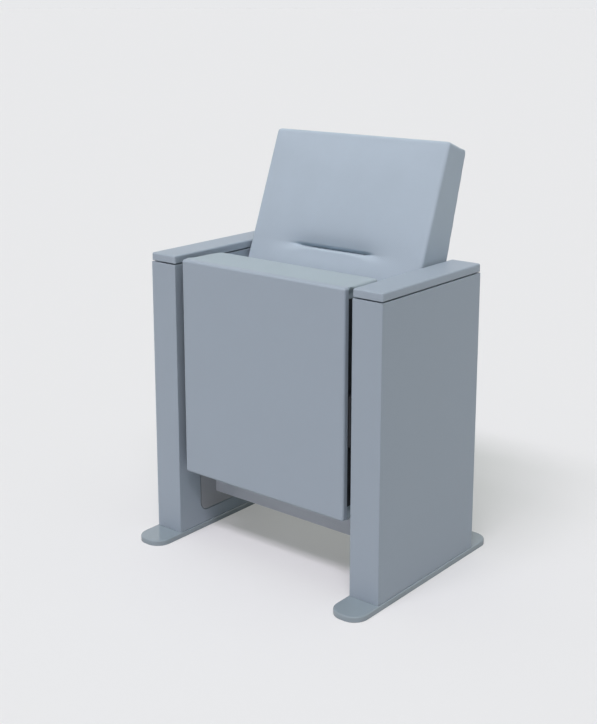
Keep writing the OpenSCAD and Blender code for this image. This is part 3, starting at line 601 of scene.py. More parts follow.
def settle(piece: bpy.types.Object) -> None:
    """Turn a piece's modifiers into its own mesh.

    Args:
        piece: The piece, whose modifiers are then gone.
    """
    graph = bpy.context.evaluated_depsgraph_get()
    mesh = bpy.data.meshes.new_from_object(piece.evaluated_get(graph))
    before = piece.data
    piece.modifiers.clear()
    piece.data = mesh
    bpy.data.meshes.remove(before)


@dataclass
class Stuffing:
    """How a sewn cover is filled: its skin is remeshed and swells under a light pressure.

    The run has nothing random in it, so each run gives the same form.

    Attributes:
        voxel: Size of the remeshed skin's cells.
        pressure: Pressure of the filling.
        cap: The furthest that a point may move.
        last_frame: Frame that the swelling ends at.
        even_rounds: How often the movement is evened out over the skin.
        quality: Steps of the simulation in each frame.
        mass: Mass of a point of the cover.
        stiffness: How stiffly the cover bends.
        held_under: Points whose share of the movement is smaller are held.
    """

    voxel: float = 5.0
    pressure: float = 4.0
    cap: float = 4.0
    last_frame: int = 20
    even_rounds: int = 6
    quality: int = 4
    mass: float = 0.3
    stiffness: float = 2.0
    held_under: float = 0.05

    def fill(self, piece: bpy.types.Object, give: Callable[[np.ndarray], np.ndarray]) -> None:
        """Remesh a form, swell it, cap the movement and subdivide it once.

        Args:
            piece: The form, at the origin and unturned.
            give: For points in millimetres, the share of the movement that each may make. It is 0
                where the cover is held by a panel, and near 0 along its sewn edges.
        """
        skin = piece.modifiers.new("skin", "REMESH")
        skin.mode = "VOXEL"
        skin.voxel_size = self.voxel * MM
        settle(piece)
        start = points_of(piece.data)
        share = give(start)
        held = piece.vertex_groups.new(name="held")
        held.add([int(i) for i in np.nonzero(share < self.held_under)[0]], 1.0, "REPLACE")
        cloth = piece.modifiers.new("filling", "CLOTH")
        cloth.settings.use_pressure = True
        cloth.settings.uniform_pressure_force = self.pressure
        cloth.settings.quality = self.quality
        cloth.settings.mass = self.mass
        cloth.settings.bending_stiffness = self.stiffness
        cloth.settings.vertex_group_mass = held.name
        cloth.settings.effector_weights.gravity = 0
        cloth.point_cache.frame_start = 1
        cloth.point_cache.frame_end = self.last_frame
        for step in range(1, self.last_frame + 1):
            bpy.context.scene.frame_set(step)
        settle(piece)
        moved = points_of(piece.data) - start
        reach = np.maximum(np.linalg.norm(moved, axis=1, keepdims=True), 1e-9)
        moved = spread(piece.data, moved * np.minimum(1, self.cap / reach), self.even_rounds)
        set_points(piece.data, start + moved * share[:, None])
        bpy.context.scene.frame_set(1)
        piece.vertex_groups.clear()
        LOG.info("%s: filled, moved by up to %.1f mm before the cap", piece.name, float(reach.max()))
        finer = piece.modifiers.new("finer", "SUBSURF")
        finer.levels = 1
        finer.render_levels = 1
        settle(piece)
        piece.data.polygons.foreach_set("use_smooth", [True] * len(piece.data.polygons))


@dataclass
class FootPlates:
    """The two long steel plates on the floor, with rounded ends and rolled edges.

    Attributes:
        edge: Radius of the eased top edges.
        floor_edge: Radius of the edges on the floor.
        floor_under: Edges under this height are on the floor.
        steps: Facets round an eased edge.
    """

    edge: float = 3.2
    floor_edge: float = 0.8
    floor_under: float = 1.0
    steps: int = 4

    def build(self) -> None:
        """Dress both plates."""
        plates = [f"{side.value}_base_plate" for side in Side]
        share = self.floor_edge / self.edge
        dress(plates, POWDER_COAT, self.edge, self.steps, low_mm=self.floor_under, low_share=share)


@dataclass
class SideCasing:
    """One hollow side: mitred boards round a pressed steel frame, a cap and a cover plate.

    Attributes:
        side: Which of the two sides it is.
        board_edge: Radius of the eased edges of the boards.
        cap_edge: Radius of the edges round the cap's top.
        cap_foot: Edges of the cap under this height are its lower ones, which are sharper.
        plate_edge: Radius of the eased edges of the cover plate.
        thin_steps: Facets round an eased edge of a board or plate.
        cap_steps: Facets round an eased edge of the cap.
    """

    side: Side
    board_edge: float = 0.8
    cap_edge: float = 4.0
    cap_foot: float = 636.0
    plate_edge: float = 0.8
    thin_steps: int = 2
    cap_steps: int = 4

    def named(self, *names: str) -> list[str]:
        """Name this side's nodes."""
        return [f"{self.side.value}_{name}" for name in names]

    def build(self) -> None:
        """Dress the boards and all that they hold."""
        boards = self.named("inner_board", "outer_board", "front_board", "rear_board")
        dress(boards, LACQUERED_BOARD, self.board_edge, self.thin_steps)
        dress(self.named("armrest_cap"), LACQUERED_BOARD, self.cap_edge, self.cap_steps, low_mm=self.cap_foot)
        dress(self.named("inner_cover"), POWDER_COAT_GREY, self.plate_edge, self.thin_steps)
        # The side frames' pale grey also lightens the shadow gap under the caps: painted light
        dress(self.named("side_frame"), POWDER_COAT_GREY)
        dress(self.named("seat_bush", "back_bush"), MOULDED_NYLON)
        dress(self.named("return_spring"), SPRING_WIRE)
        dress(self.named("seat_stop_pin", "back_stop_pin"), ZINC_PLATED_STEEL)
        dress(self.named("seat_stop_sleeve", "back_stop_sleeve"), NITRILE_RUBBER)


@dataclass
class Crossbar:
    """The tube between the sides, and the casings' fasteners.

    Attributes:
        edge: Radius of the tube's edges.
    """

    edge: float = 3.0

    def build(self) -> None:
        """Dress the tube and the fasteners."""
        # The crossbar's pale colour is painted light, lifting it in the shade under the seat
        dress(["crossbar"], POWDER_COAT_MATT, self.edge)
        dress(["crossbar_end_plates"], BLACK_PAINTED_STEEL)
        dress(["crossbar_bolts", "cap_screws", "casing_screws", "cover_nuts"], ZINC_PLATED_STEEL)


@dataclass
class SeatUnit:
    """The tipping seat: a moulded shell under a stuffed pad on a tube frame.

    Attributes:
        half_width: Half of the pad's width.
        foot: Height of the pad's foot, tipped up.
        height: Height of the pad, tipped up.
        front: Place of the shell's inner face, where the pad starts.
        rear: Place of the sitting face at its edges.
        crown: How far the sitting face rises to its middle.
        edge: Radius round the sitting face.
        side_edge: Radius of the pad's other edges.
        draw: How far the sides draw in behind the shell.
        hem: Width of the strip behind the shell where the cover is stapled and lies flush with it.
        hem_slack: How far inside the shell's edge the cover may lie and still be drawn to it, in hems.
        hem_flush: Where the cover starts to leave the shell's edge and is free of it, in hems.
        hem_give: Where the movement starts and is full, behind the shell, in hems.
        tuck: How far the cover is pulled in at the sides, right behind the shell.
        tuck_wide: Distance over which it comes out again.
        tuck_side: Reach of the tuck in from the sides, in parts of the slack.
        tuck_ends: Where the tuck starts and is full, in from the pad's foot and top, in hems.
        edge_give: Where the movement starts and is full, in from the pad's edges, in radii.
        least_give: Share of the movement that is left at the edges.
        seam_in: Distance of the sewn line from the pad's edges.
        seam_corner: Its corner radius.
        seam_deep: Depth of the furrow that it pulls.
        seam_wide: Half of the furrow's width.
        seam_free: How far in front of the sitting face's edge the furrow starts and is full.
        stitch_pitch: Distance from one stitch to the next.
        stitch_long: Length of a stitch.
        stitch_r: Radius of the thread.
        stitch_out: How far a stitch's middle stands out of the cloth, in radii.
        stitch_form: Place along a stitch and share of its radius, for each of its rings.
        stitch_sides: Points in a ring.
        ray_from: A place clear of the sitting face, from which the cloth under a stitch is found.
        stuffing: How the pad is filled.
        shrink: How much lower the sitting face is before it swells.
        bend_points: Points round an edge of the form.
    """

    half_width: float = 219.3
    foot: float = 165.0
    height: float = 483.0
    front: float = -162.4
    rear: float = -46.4
    crown: float = 12.0
    edge: float = 14.0
    side_edge: float = 4.0
    draw: float = 2.5
    hem: float = 10.0
    hem_slack: float = 0.6
    hem_flush: tuple[float, float] = (0.4, 2.0)
    hem_give: tuple[float, float] = (1.0, 4.0)
    tuck: float = 8.0
    tuck_wide: float = 42.0
    tuck_side: float = 4.0
    tuck_ends: tuple[float, float] = (0.4, 1.6)
    edge_give: tuple[float, float] = (0.3, 1.6)
    least_give: float = 0.25
    seam_in: float = 24.0
    seam_corner: float = 30.0
    seam_deep: float = 2.2
    seam_wide: float = 3.2
    seam_free: tuple[float, float] = (12.0, 2.0)
    stitch_pitch: float = 7.0
    stitch_long: float = 4.6
    stitch_r: float = 0.65
    stitch_out: float = 0.35
    stitch_form: tuple[tuple[float, float], ...] = ((-0.5, 0.35), (-0.32, 1.0), (0.32, 1.0), (0.5, 0.35))
    stitch_sides: int = 6
    ray_from: float = 50.0
    stuffing: Stuffing = field(default_factory=Stuffing)
    shrink: float = 2.5
    bend_points: int = 7

    def form(self) -> Skin:
        """Lay rings of points from the pad's foot to its top, slightly small so that it can swell.

        Returns:
            The points in metres, and the faces.
        """
        levels = [self.edge * s for s in EDGE_SHARES]
        levels += list(np.linspace(self.edge, self.height - self.edge, FACE_RINGS)[1:-1])
        levels += [self.height - self.edge * s for s in reversed(EDGE_SHARES)]
        bends = np.linspace(0, math.pi / 2, self.bend_points)
        rings = []
        for level in levels:
            near = min(level, self.height - level)
            half = self.half_width - float(edge_in(near, self.side_edge))
            rear = self.rear - float(edge_in(near, self.edge)) - self.shrink
            rise = self.crown * crowned(2 * level / self.height - 1)
            flat = half - self.draw - self.edge
            ring = [(half, self.front), (half, (self.front + rear) / 2)]
            ring += [(flat + self.edge * math.cos(b), rear - self.edge * (1 - math.sin(b))) for b in bends]
            for x in np.linspace(flat, -flat, FACE_COLUMNS)[1:-1]:
                ring.append((x, rear + rise * crowned(x / flat)))
            ring += [(-flat - self.edge * math.sin(b), rear - self.edge * (1 - math.cos(b))) for b in bends]
            ring += [(-half, (self.front + rear) / 2), (-half, self.front)]
            rings.append([(x, y, self.foot + level) for x, y in ring])
        points = np.array(rings) * MM
        return points.reshape(-1, 3), ring_faces(len(rings), len(rings[0]))

    def give(self, places: np.ndarray) -> np.ndarray:
        """Say how freely each point of the cover moves: not at all behind the shell, little at the edges.

        Args:
            places: The points in millimetres, one row each.

        Returns:
            A share of the movement for each point.
        """
        low, high = (self.edge * give for give in self.edge_give)
        free = smooth_step(*(self.front + self.hem * give for give in self.hem_give), places[:, 1])
        side = smooth_step(low, high, self.half_width - np.abs(places[:, 0]))
        ends = np.minimum(places[:, 2] - self.foot, self.foot + self.height - places[:, 2])
        return free * np.maximum(self.least_give, np.minimum(side, smooth_step(low, high, ends)))

    def staple(self, pad: bpy.types.Object) -> None:
        """Lay the cover flush with the shell along its hem, and tuck it in at the two sides.

        Args:
            pad: The stuffed pad.
        """
        places = points_of(pad.data)
        near = 1 - smooth_step(*(self.front + self.hem * flush for flush in self.hem_flush), places[:, 1])
        slack = self.hem * self.hem_slack
        side = self.half_width - np.abs(places[:, 0])
        places[:, 0] += np.sign(places[:, 0]) * np.where(side < slack, side * near, 0)
        for end, sign in ((self.foot, -1), (self.foot + self.height, 1)):
            left = sign * (end - places[:, 2])
            places[:, 2] += sign * np.where(left < slack, left * near, 0)
        ends = np.minimum(places[:, 2] - self.foot, self.foot + self.height - places[:, 2])
        tucked = self.tuck * np.exp(-((places[:, 1] - self.front) / self.tuck_wide) ** 2)
        beside = 1 - smooth_step(slack, self.tuck_side * slack, side)
        tucked *= smooth_step(*(self.hem * end for end in self.tuck_ends), ends) * beside
        places[:, 0] -= np.sign(places[:, 0]) * tucked
        set_points(pad.data, places)

    def sew(self, pad: bpy.types.Object) -> None:
        """Pull a sewn line into the sitting face.

        Args:
            pad: The stuffed pad.
        """
        places = points_of(pad.data)
        middle = self.foot + self.height / 2
        away = round_distance(places[:, 0], places[:, 2] - middle, *self.seam_size(), self.seam_corner)
        facing = smooth_step(*(self.rear - free for free in self.seam_free), places[:, 1])
        places[:, 1] -= facing * self.seam_deep * np.exp(-(away / self.seam_wide) ** 2)
        set_points(pad.data, places)

    def seam_size(self) -> tuple[float, float]:
        """Give the width and height of the sewn line."""
        return 2 * (self.half_width - self.seam_in), self.height - 2 * self.seam_in

    def stitches(self, pad: bpy.types.Object) -> bpy.types.Object:
        """Sew the stitches along the line, each lying on the cloth.

        Args:
            pad: The sewn pad.

        Returns:
            One piece with all the stitches.
        """
        tree = BVHTree.FromPolygons(
            [v.co for v in pad.data.vertices], [tuple(p.vertices) for p in pad.data.polygons],
        )
        route = round_route(*self.seam_size(), self.seam_corner, self.stitch_pitch)
        along = np.roll(route, -1, 0) - np.roll(route, 1, 0)
        along /= np.linalg.norm(along, axis=1, keepdims=True)
        sides = self.stitch_sides
        points: list[Point] = []
        faces: Faces = []
        for (x, up), (ax, az) in zip(route, along):
            z = up + self.foot + self.height / 2
            hit = tree.ray_cast(Vector((x * MM, self.ray_from * MM, z * MM)), Vector((0, -1, 0)))[0]
            y = hit.y / MM + self.stitch_r * self.stitch_out
            base = len(points)
            for share, swell in self.stitch_form:
                for k in range(sides):
                    turn = k * 2 * math.pi / sides
                    side = self.stitch_r * swell * math.cos(turn)
                    points.append((
                        x + ax * share * self.stitch_long - az * side,
                        y + self.stitch_r * swell * math.sin(turn),
                        z + az * share * self.stitch_long + ax * side,
                    ))
            faces += [tuple(base + i for i in f) for f in ring_faces(len(self.stitch_form), sides)]
        return new_piece("seat_pad_stitching", np.array(points) * MM, faces, SEWING_THREAD)

    def build(self) -> None:
        """Make the pad, sew it, and dress the seat's other pieces."""
        points, faces = self.form()
        # The seat pad takes the deeper, less blue copy of the cloth: painted shade
        pad = new_piece("seat_pad", points, faces, SEAT_WEAVE_WITH_PAINTED_SHADE)
        self.stuffing.fill(pad, self.give)
        self.staple(pad)
        self.sew(pad)
        thread = self.stitches(pad)
        for piece in (pad, thread):
            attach(piece, Body.SEAT.value)
        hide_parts("seat_cushion")
        sewn = len(thread.data.polygons)
        LOG.info("seat_pad: %d faces, with %d faces of stitching", len(pad.data.polygons), sewn)
        dress(["seat_underpanel"], MOULDED_SHELL)
        # The seat's hinge plates are black dip painted like the seat frame, and in the gap beside the seat
        # their black also stands for the deep shade there: painted shade
        dress(["seat_frame", "left_seat_hinge_plate", "right_seat_hinge_plate"], BLACK_PAINTED_STEEL)
        pins = ["left_seat_pivot_pin", "right_seat_pivot_pin", "seat_hinge_screws", "seat_panel_screws"]
        dress(pins, ZINC_PLATED_STEEL)


@dataclass
class BackUnit:
    """The tilting back: a stuffed pad with one pinched crease, on a tube frame with a rear panel.

    The pad is made in the back's own axes, with its top front edge at the origin, X across, Y in
    from the front face and Z up, and then leaned into place.

    Attributes:
        half_width: Half of the pad's width.
        length: Length of the front face.
        top_thick: Thickness at the top.
        rear_edge: Radius round the rear face.
        taper: Angle between the front and rear faces, in degrees.
        lean: Lean from the vertical, in degrees.
        top: Place of the top front edge in Y and Z.
        edge: Radius round the front face.
        crown: How far the front face rises to its middle.
        bend_points: Points round an edge of the form.
        shrink: How much lower the front face is before it swells.
        edge_give: Where the movement starts and is full, in from the pad's edges, in radii.
        deep_give: Where the movement starts to fail and is lost, in from the front face, in radii.
        least_give: Share of the movement that is left there.
        crease_down: Distance of the crease below the top.
        crease_long: Length of the crease.
        crease_deep: Depth of its wide fold.
        crease_above: Reach of the fold above the slit.
        above_power: How squarely it ends there.
        crease_below: Its reach below the slit, in the middle.
        end_spread: How much further it reaches below the slit at its ends.
        end_power: How steeply the fold ends.
        pinch_deep: Where the pinch starts to fail and is lost, in from the front face.
        slit_deep: Depth of the narrow slit at the bottom of the crease.
        slit_wide: Half of its width.
        slit_long: Its length.
        slit_power: How steeply the slit ends.
        gather: Rows of points within this distance are gathered towards the slit.
        gather_power: How closely they are gathered.
        lip_out: How far the padding swells out below the crease.
        lip_down: Distance of the swelling below the slit.
        lip_wide: Half of its height.
        lip_long: Its length.
        lip_power: How steeply it ends.
        slack: How far the cover may lie inside its form and still be drawn tight.
        tight: Share of that distance that is taken up.
        tight_deep: Where that starts to fail and is lost, in from the rear face, in depths of the panel.
        panel_in: Distance of the rear panel's edge from the pad's edges.
        panel_rims: Where the form has points inside and outside the panel's edge.
        panel_thick: How deep the cover is sunk under the panel.
        panel_corner: The panel's corner radius.
        panel_edge: Radius of its eased edges.
        panel_sink: Where the sinking is full and where it ends, out from the panel's edge.
        welt_r: The welt's radius.
        welt_half_width: Half of the width that the welt's line is measured in from.
        welt_out: How far the welt lies out from the panel's edge, in radii.
        welt_sunk: How far the welt is sunk in the cover, in radii.
        welt_pitch: Distance between the points along the welt.
        plate_r: Radius of a hinge plate's round side.
        plate_face: Distance from the middle to the inner faces of the two hinge plates in the pad's sides.
        plate_place: Middle of a hinge plate, in from the front face and up from the top.
        plate_front: How far in a hinge plate's straight front edge is.
        plate_foot: Height of its straight foot.
        plate_free: Space round a hinge plate.
        plate_past: How far its pocket's cutter reaches past the pad's side.
        plate_turns: Points round its outline.
        stuffing: How the pad is filled.
    """

    half_width: float = 234.4
    length: float = 469.0
    top_thick: float = 73.0
    rear_edge: float = 4.0
    taper: float = 5.2
    lean: float = 21.0
    top: tuple[float, float] = (161.0, 905.0)
    edge: float = 6.5
    crown: float = 2.5
    bend_points: int = 6
    shrink: float = 2.0
    edge_give: tuple[float, float] = (0.5, 3.5)
    deep_give: tuple[float, float] = (1.0, 3.0)
    least_give: float = 0.04
    crease_down: float = 261.0
    crease_long: float = 216.0
    crease_deep: float = 13.0
    crease_above: float = 20.0
    above_power: float = 1.3
    crease_below: float = 4.0
    end_spread: float = 12.0
    end_power: int = 6
    pinch_deep: tuple[float, float] = (14.0, 34.0)
    slit_deep: float = 10.0
    slit_wide: float = 3.0
    slit_long: float = 204.0
    slit_power: int = 16
    gather: float = 24.0
    gather_power: float = 1.8
    lip_out: float = 5.0
    lip_down: float = 46.0
    lip_wide: float = 30.0
    lip_long: float = 320.0
    lip_power: int = 4
    slack: float = 5.0
    tight: float = 0.65
    tight_deep: tuple[float, float] = (1.0, 3.0)
    panel_in: float = 14.0
    panel_rims: tuple[float, float] = (2.0, 3.0)
    panel_thick: float = 8.4
    panel_corner: float = 12.0
    panel_edge: float = 1.5
    panel_sink: tuple[float, float] = (-2.0, 1.5)
    welt_r: float = 2.6
    welt_half_width: float = 235.0
    welt_out: float = 0.6
    welt_sunk: float = 0.35
    welt_pitch: float = 6.0
    plate_face: float = 229.0
    plate_r: float = 76.0
    plate_place: tuple[float, float] = (40.0, -434.0)
    plate_front: float = 22.0
    plate_foot: float = -454.0
    plate_free: float = 0.4
    plate_past: float = 26.0
    plate_turns: int = 64
    stuffing: Stuffing = field(default_factory=lambda: Stuffing(voxel=4.5))

    def place(self) -> Matrix:
        """Give the matrix that leans the back's own axes into place."""
        origin = Matrix.Translation((0, self.top[0] * MM, self.top[1] * MM))
        return origin @ Matrix.Rotation(math.radians(-self.lean), 4, "X")

    def rear(self, up: float | np.ndarray) -> float | np.ndarray:
        """Give the thickness at a height up from the top edge, which is below 0."""
        return self.top_thick - up * math.tan(math.radians(self.taper))

    def form(self) -> Skin:
        """Lay rings of points from the pad's foot to its top, slightly small so that it can swell.

        Returns:
            The points in metres, and the faces.
        """
        ups = [-self.length + self.edge * s for s in EDGE_SHARES]
        ups += list(np.linspace(-self.length + self.edge, -self.edge, FACE_RINGS)[1:-1])
        ups += [-self.edge * s for s in reversed(EDGE_SHARES)]
        rims = (self.panel_in - self.panel_rims[0], self.panel_in + self.panel_rims[1])
        ups = sorted(ups + [-rim for rim in rims] + [rim - self.length for rim in rims])
        bends = np.linspace(0, math.pi / 2, self.bend_points)
        rings = []
        for up in ups:
            near = min(-up, up + self.length)
            drawn, drawn_rear = float(edge_in(near, self.edge)), float(edge_in(near, self.rear_edge))
            half = self.half_width - drawn_rear
            front, rear = drawn + self.shrink, self.rear(up) - drawn_rear
            flat, flat_rear = half - self.edge, half - self.rear_edge
            rise = self.crown * crowned(2 * up / self.length + 1)
            ring = [
                (flat_rear + self.rear_edge * math.cos(b), rear - self.rear_edge * (1 - math.sin(b)))
                for b in bends
            ]
            ring += [(self.half_width - rim, rear) for rim in rims]
            ring += [(rim - self.half_width, rear) for rim in reversed(rims)]
            ring += [
                (-flat_rear - self.rear_edge * math.sin(b), rear - self.rear_edge * (1 - math.cos(b)))
                for b in bends
            ]
            ring += [(-flat - self.edge * math.cos(b), front + self.edge * (1 - math.sin(b))) for b in bends]
            for x in np.linspace(-flat, flat, FACE_COLUMNS)[1:-1]:
                ring.append((x, front - rise * crowned(x / flat)))
            ring += [(flat + self.edge * math.sin(b), front + self.edge * (1 - math.cos(b))) for b in bends]
            rings.append([(x, y, up) for x, y in ring])
        points = np.array(rings) * MM
        return points.reshape(-1, 3), ring_faces(len(rings), len(rings[0]))

    def give(self, places: np.ndarray) -> np.ndarray:
        """Say how freely each point of the cover moves: little at its sewn edges and behind.

        Args:
            places: The points in millimetres, one row each.

        Returns:
            A share of the movement for each point.
        """
        side = self.half_width - np.abs(places[:, 0])
        end = np.minimum(-places[:, 2], places[:, 2] + self.length)
        face = smooth_step(*(self.edge * give for give in self.edge_give), np.minimum(side, end))
        depth = 1 - smooth_step(*(self.edge * give for give in self.deep_give), places[:, 1])
        return np.maximum(self.least_give, face * depth)

    def pinch(self, pad: bpy.types.Object) -> None:
        """Pull the crease into the front face, with the padding swelling a little below it.

        Rows of points near the crease are gathered towards it first, so that its slit is sharp.

        Args:
            pad: The stuffed pad.
        """
        places = points_of(pad.data)
        across = places[:, 0]
        along = fade(across, self.crease_long, self.end_power)
        near_middle = fade(across, self.slit_long, self.end_power)
        facing = 1 - smooth_step(*self.pinch_deep, places[:, 1])
        away = places[:, 2] + self.crease_down
        near = np.abs(away) < self.gather
        pulled = np.sign(away) * self.gather * (np.abs(away) / self.gather) ** self.gather_power
        away = np.where(near, away + along * facing * (pulled - away), away)
        above = np.exp(-(np.maximum(away, 0) / self.crease_above) ** self.above_power)
        foot = self.crease_below + self.end_spread * (1 - near_middle)
        fold = self.crease_deep * above * np.exp(-(np.minimum(away, 0) / foot) ** 2)
        lip = self.lip_out * np.exp(-((away + self.lip_down) / self.lip_wide) ** 2)
        lip *= fade(across, self.lip_long, self.lip_power)
        slit = self.slit_deep * np.exp(-(away / self.slit_wide) ** 2)
        slit *= fade(across, self.slit_long, self.slit_power)
        places[:, 2] = away - self.crease_down
        places[:, 1] += facing * (along * (fold + slit) - lip)
        set_points(pad.data, places)

    def tighten(self, pad: bpy.types.Object) -> None:
        """Draw the cover tight round the rear edges, and sink it under the rear panel.

        Args:
            pad: The pinched pad.
        """
        places = points_of(pad.data)
        behind = self.rear(places[:, 2]) - places[:, 1]
        near = 1 - smooth_step(*(self.panel_thick * deep for deep in self.tight_deep), behind)
        gaps = (self.half_width - np.abs(places[:, 0]), -places[:, 2], places[:, 2] + self.length, behind)
        side, over, under, drawn = (
            self.tight * gap * (1 - smooth_step(self.slack / 2, self.slack, gap)) for gap in gaps
        )
        places[:, 0] += np.sign(places[:, 0]) * side * near
        places[:, 2] += (over - under) * near
        slope = math.cos(math.radians(self.taper))
        wide, tall = 2 * (self.half_width - self.panel_in), self.length / slope - 2 * self.panel_in
        middle = (places[:, 2] + self.length / 2) / slope
        away = round_distance(places[:, 0], middle, wide, tall, self.panel_corner)
        sunk = self.panel_thick * (1 - smooth_step(*self.panel_sink, away))
        places[:, 1] += drawn - np.where(behind < self.slack, sunk, 0)
        set_points(pad.data, places)

    def recess(self, pad: bpy.types.Object) -> None:
        """Let the hinge plates into the pad's sides, in pockets of their outline.

        Args:
            pad: The tightened pad.
        """
        radius = self.plate_r + self.plate_free
        low_in, low_up = self.plate_front - self.plate_free, self.plate_foot - self.plate_free
        outline = []
        for t in np.linspace(0, 2 * math.pi, self.plate_turns, endpoint=False):
            y, z = self.plate_place[0] + radius * math.cos(t), self.plate_place[1] + radius * math.sin(t)
            outline.append((max(y, low_in), max(z, low_up)))
        for sign in (-1, 1):
            near, far = self.plate_face - self.plate_free, self.half_width + self.plate_past
            points = np.array([(sign * x, y, z) for x in (near, far) for y, z in outline]) * MM
            faces = ring_faces(2, self.plate_turns)
            cutter = new_piece("hinge_plate_pocket", points, faces, WOVEN_POLYESTER)
            cut = pad.modifiers.new("pocket", "BOOLEAN")
            cut.operation, cut.solver, cut.object = "DIFFERENCE", "EXACT", cutter
            settle(pad)
            bpy.data.objects.remove(cutter)

    def rear_welt(self) -> bpy.types.Object:
        """Sew a welt round the rear panel, where the cover tucks in behind it.

        Returns:
            The welt.
        """
        tall = self.length / math.cos(math.radians(self.taper))
        inset = self.panel_in - self.welt_r * self.welt_out
        wide, corner = 2 * (self.welt_half_width - inset), self.panel_corner + self.welt_r
        slope = math.radians(self.taper)
        route = np.array([
            (x, self.top_thick - (v - tall / 2) * math.sin(slope), (v - tall / 2) * math.cos(slope))
            for x, v in round_route(wide, tall - 2 * inset, corner, self.welt_pitch)
        ])
        out = np.array((0.0, math.cos(slope), math.sin(slope)))
        points, faces = welt(route - out * self.welt_r * self.welt_sunk, out, self.welt_r)
        return new_piece("back_rear_welt", points * MM, faces, BIAS_WELT)

    def build(self) -> None:
        """Make the pad and its crease, and dress the back's other pieces."""
        points, faces = self.form()
        pad = new_piece("back_pad", points, faces, WOVEN_POLYESTER)
        self.stuffing.fill(pad, self.give)
        self.pinch(pad)
        self.tighten(pad)
        self.recess(pad)
        cord = self.rear_welt()
        for piece in (pad, cord):
            piece.matrix_world = self.place()
            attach(piece, Body.BACK.value)
        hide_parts("back_cushion")
        sewn = len(cord.data.polygons)
        LOG.info("back_pad: %d faces, with a welt of %d faces", len(pad.data.polygons), sewn)
        dress(["back_rear_panel"], MOULDED_SHELL, self.panel_edge)
        dress(["back_frame", "left_back_hinge_plate", "right_back_hinge_plate"], BLACK_PAINTED_STEEL)
        pins = ["left_back_pivot_pin", "right_back_pivot_pin", "back_hinge_screws", "back_panel_screws"]
        dress(pins, ZINC_PLATED_STEEL)


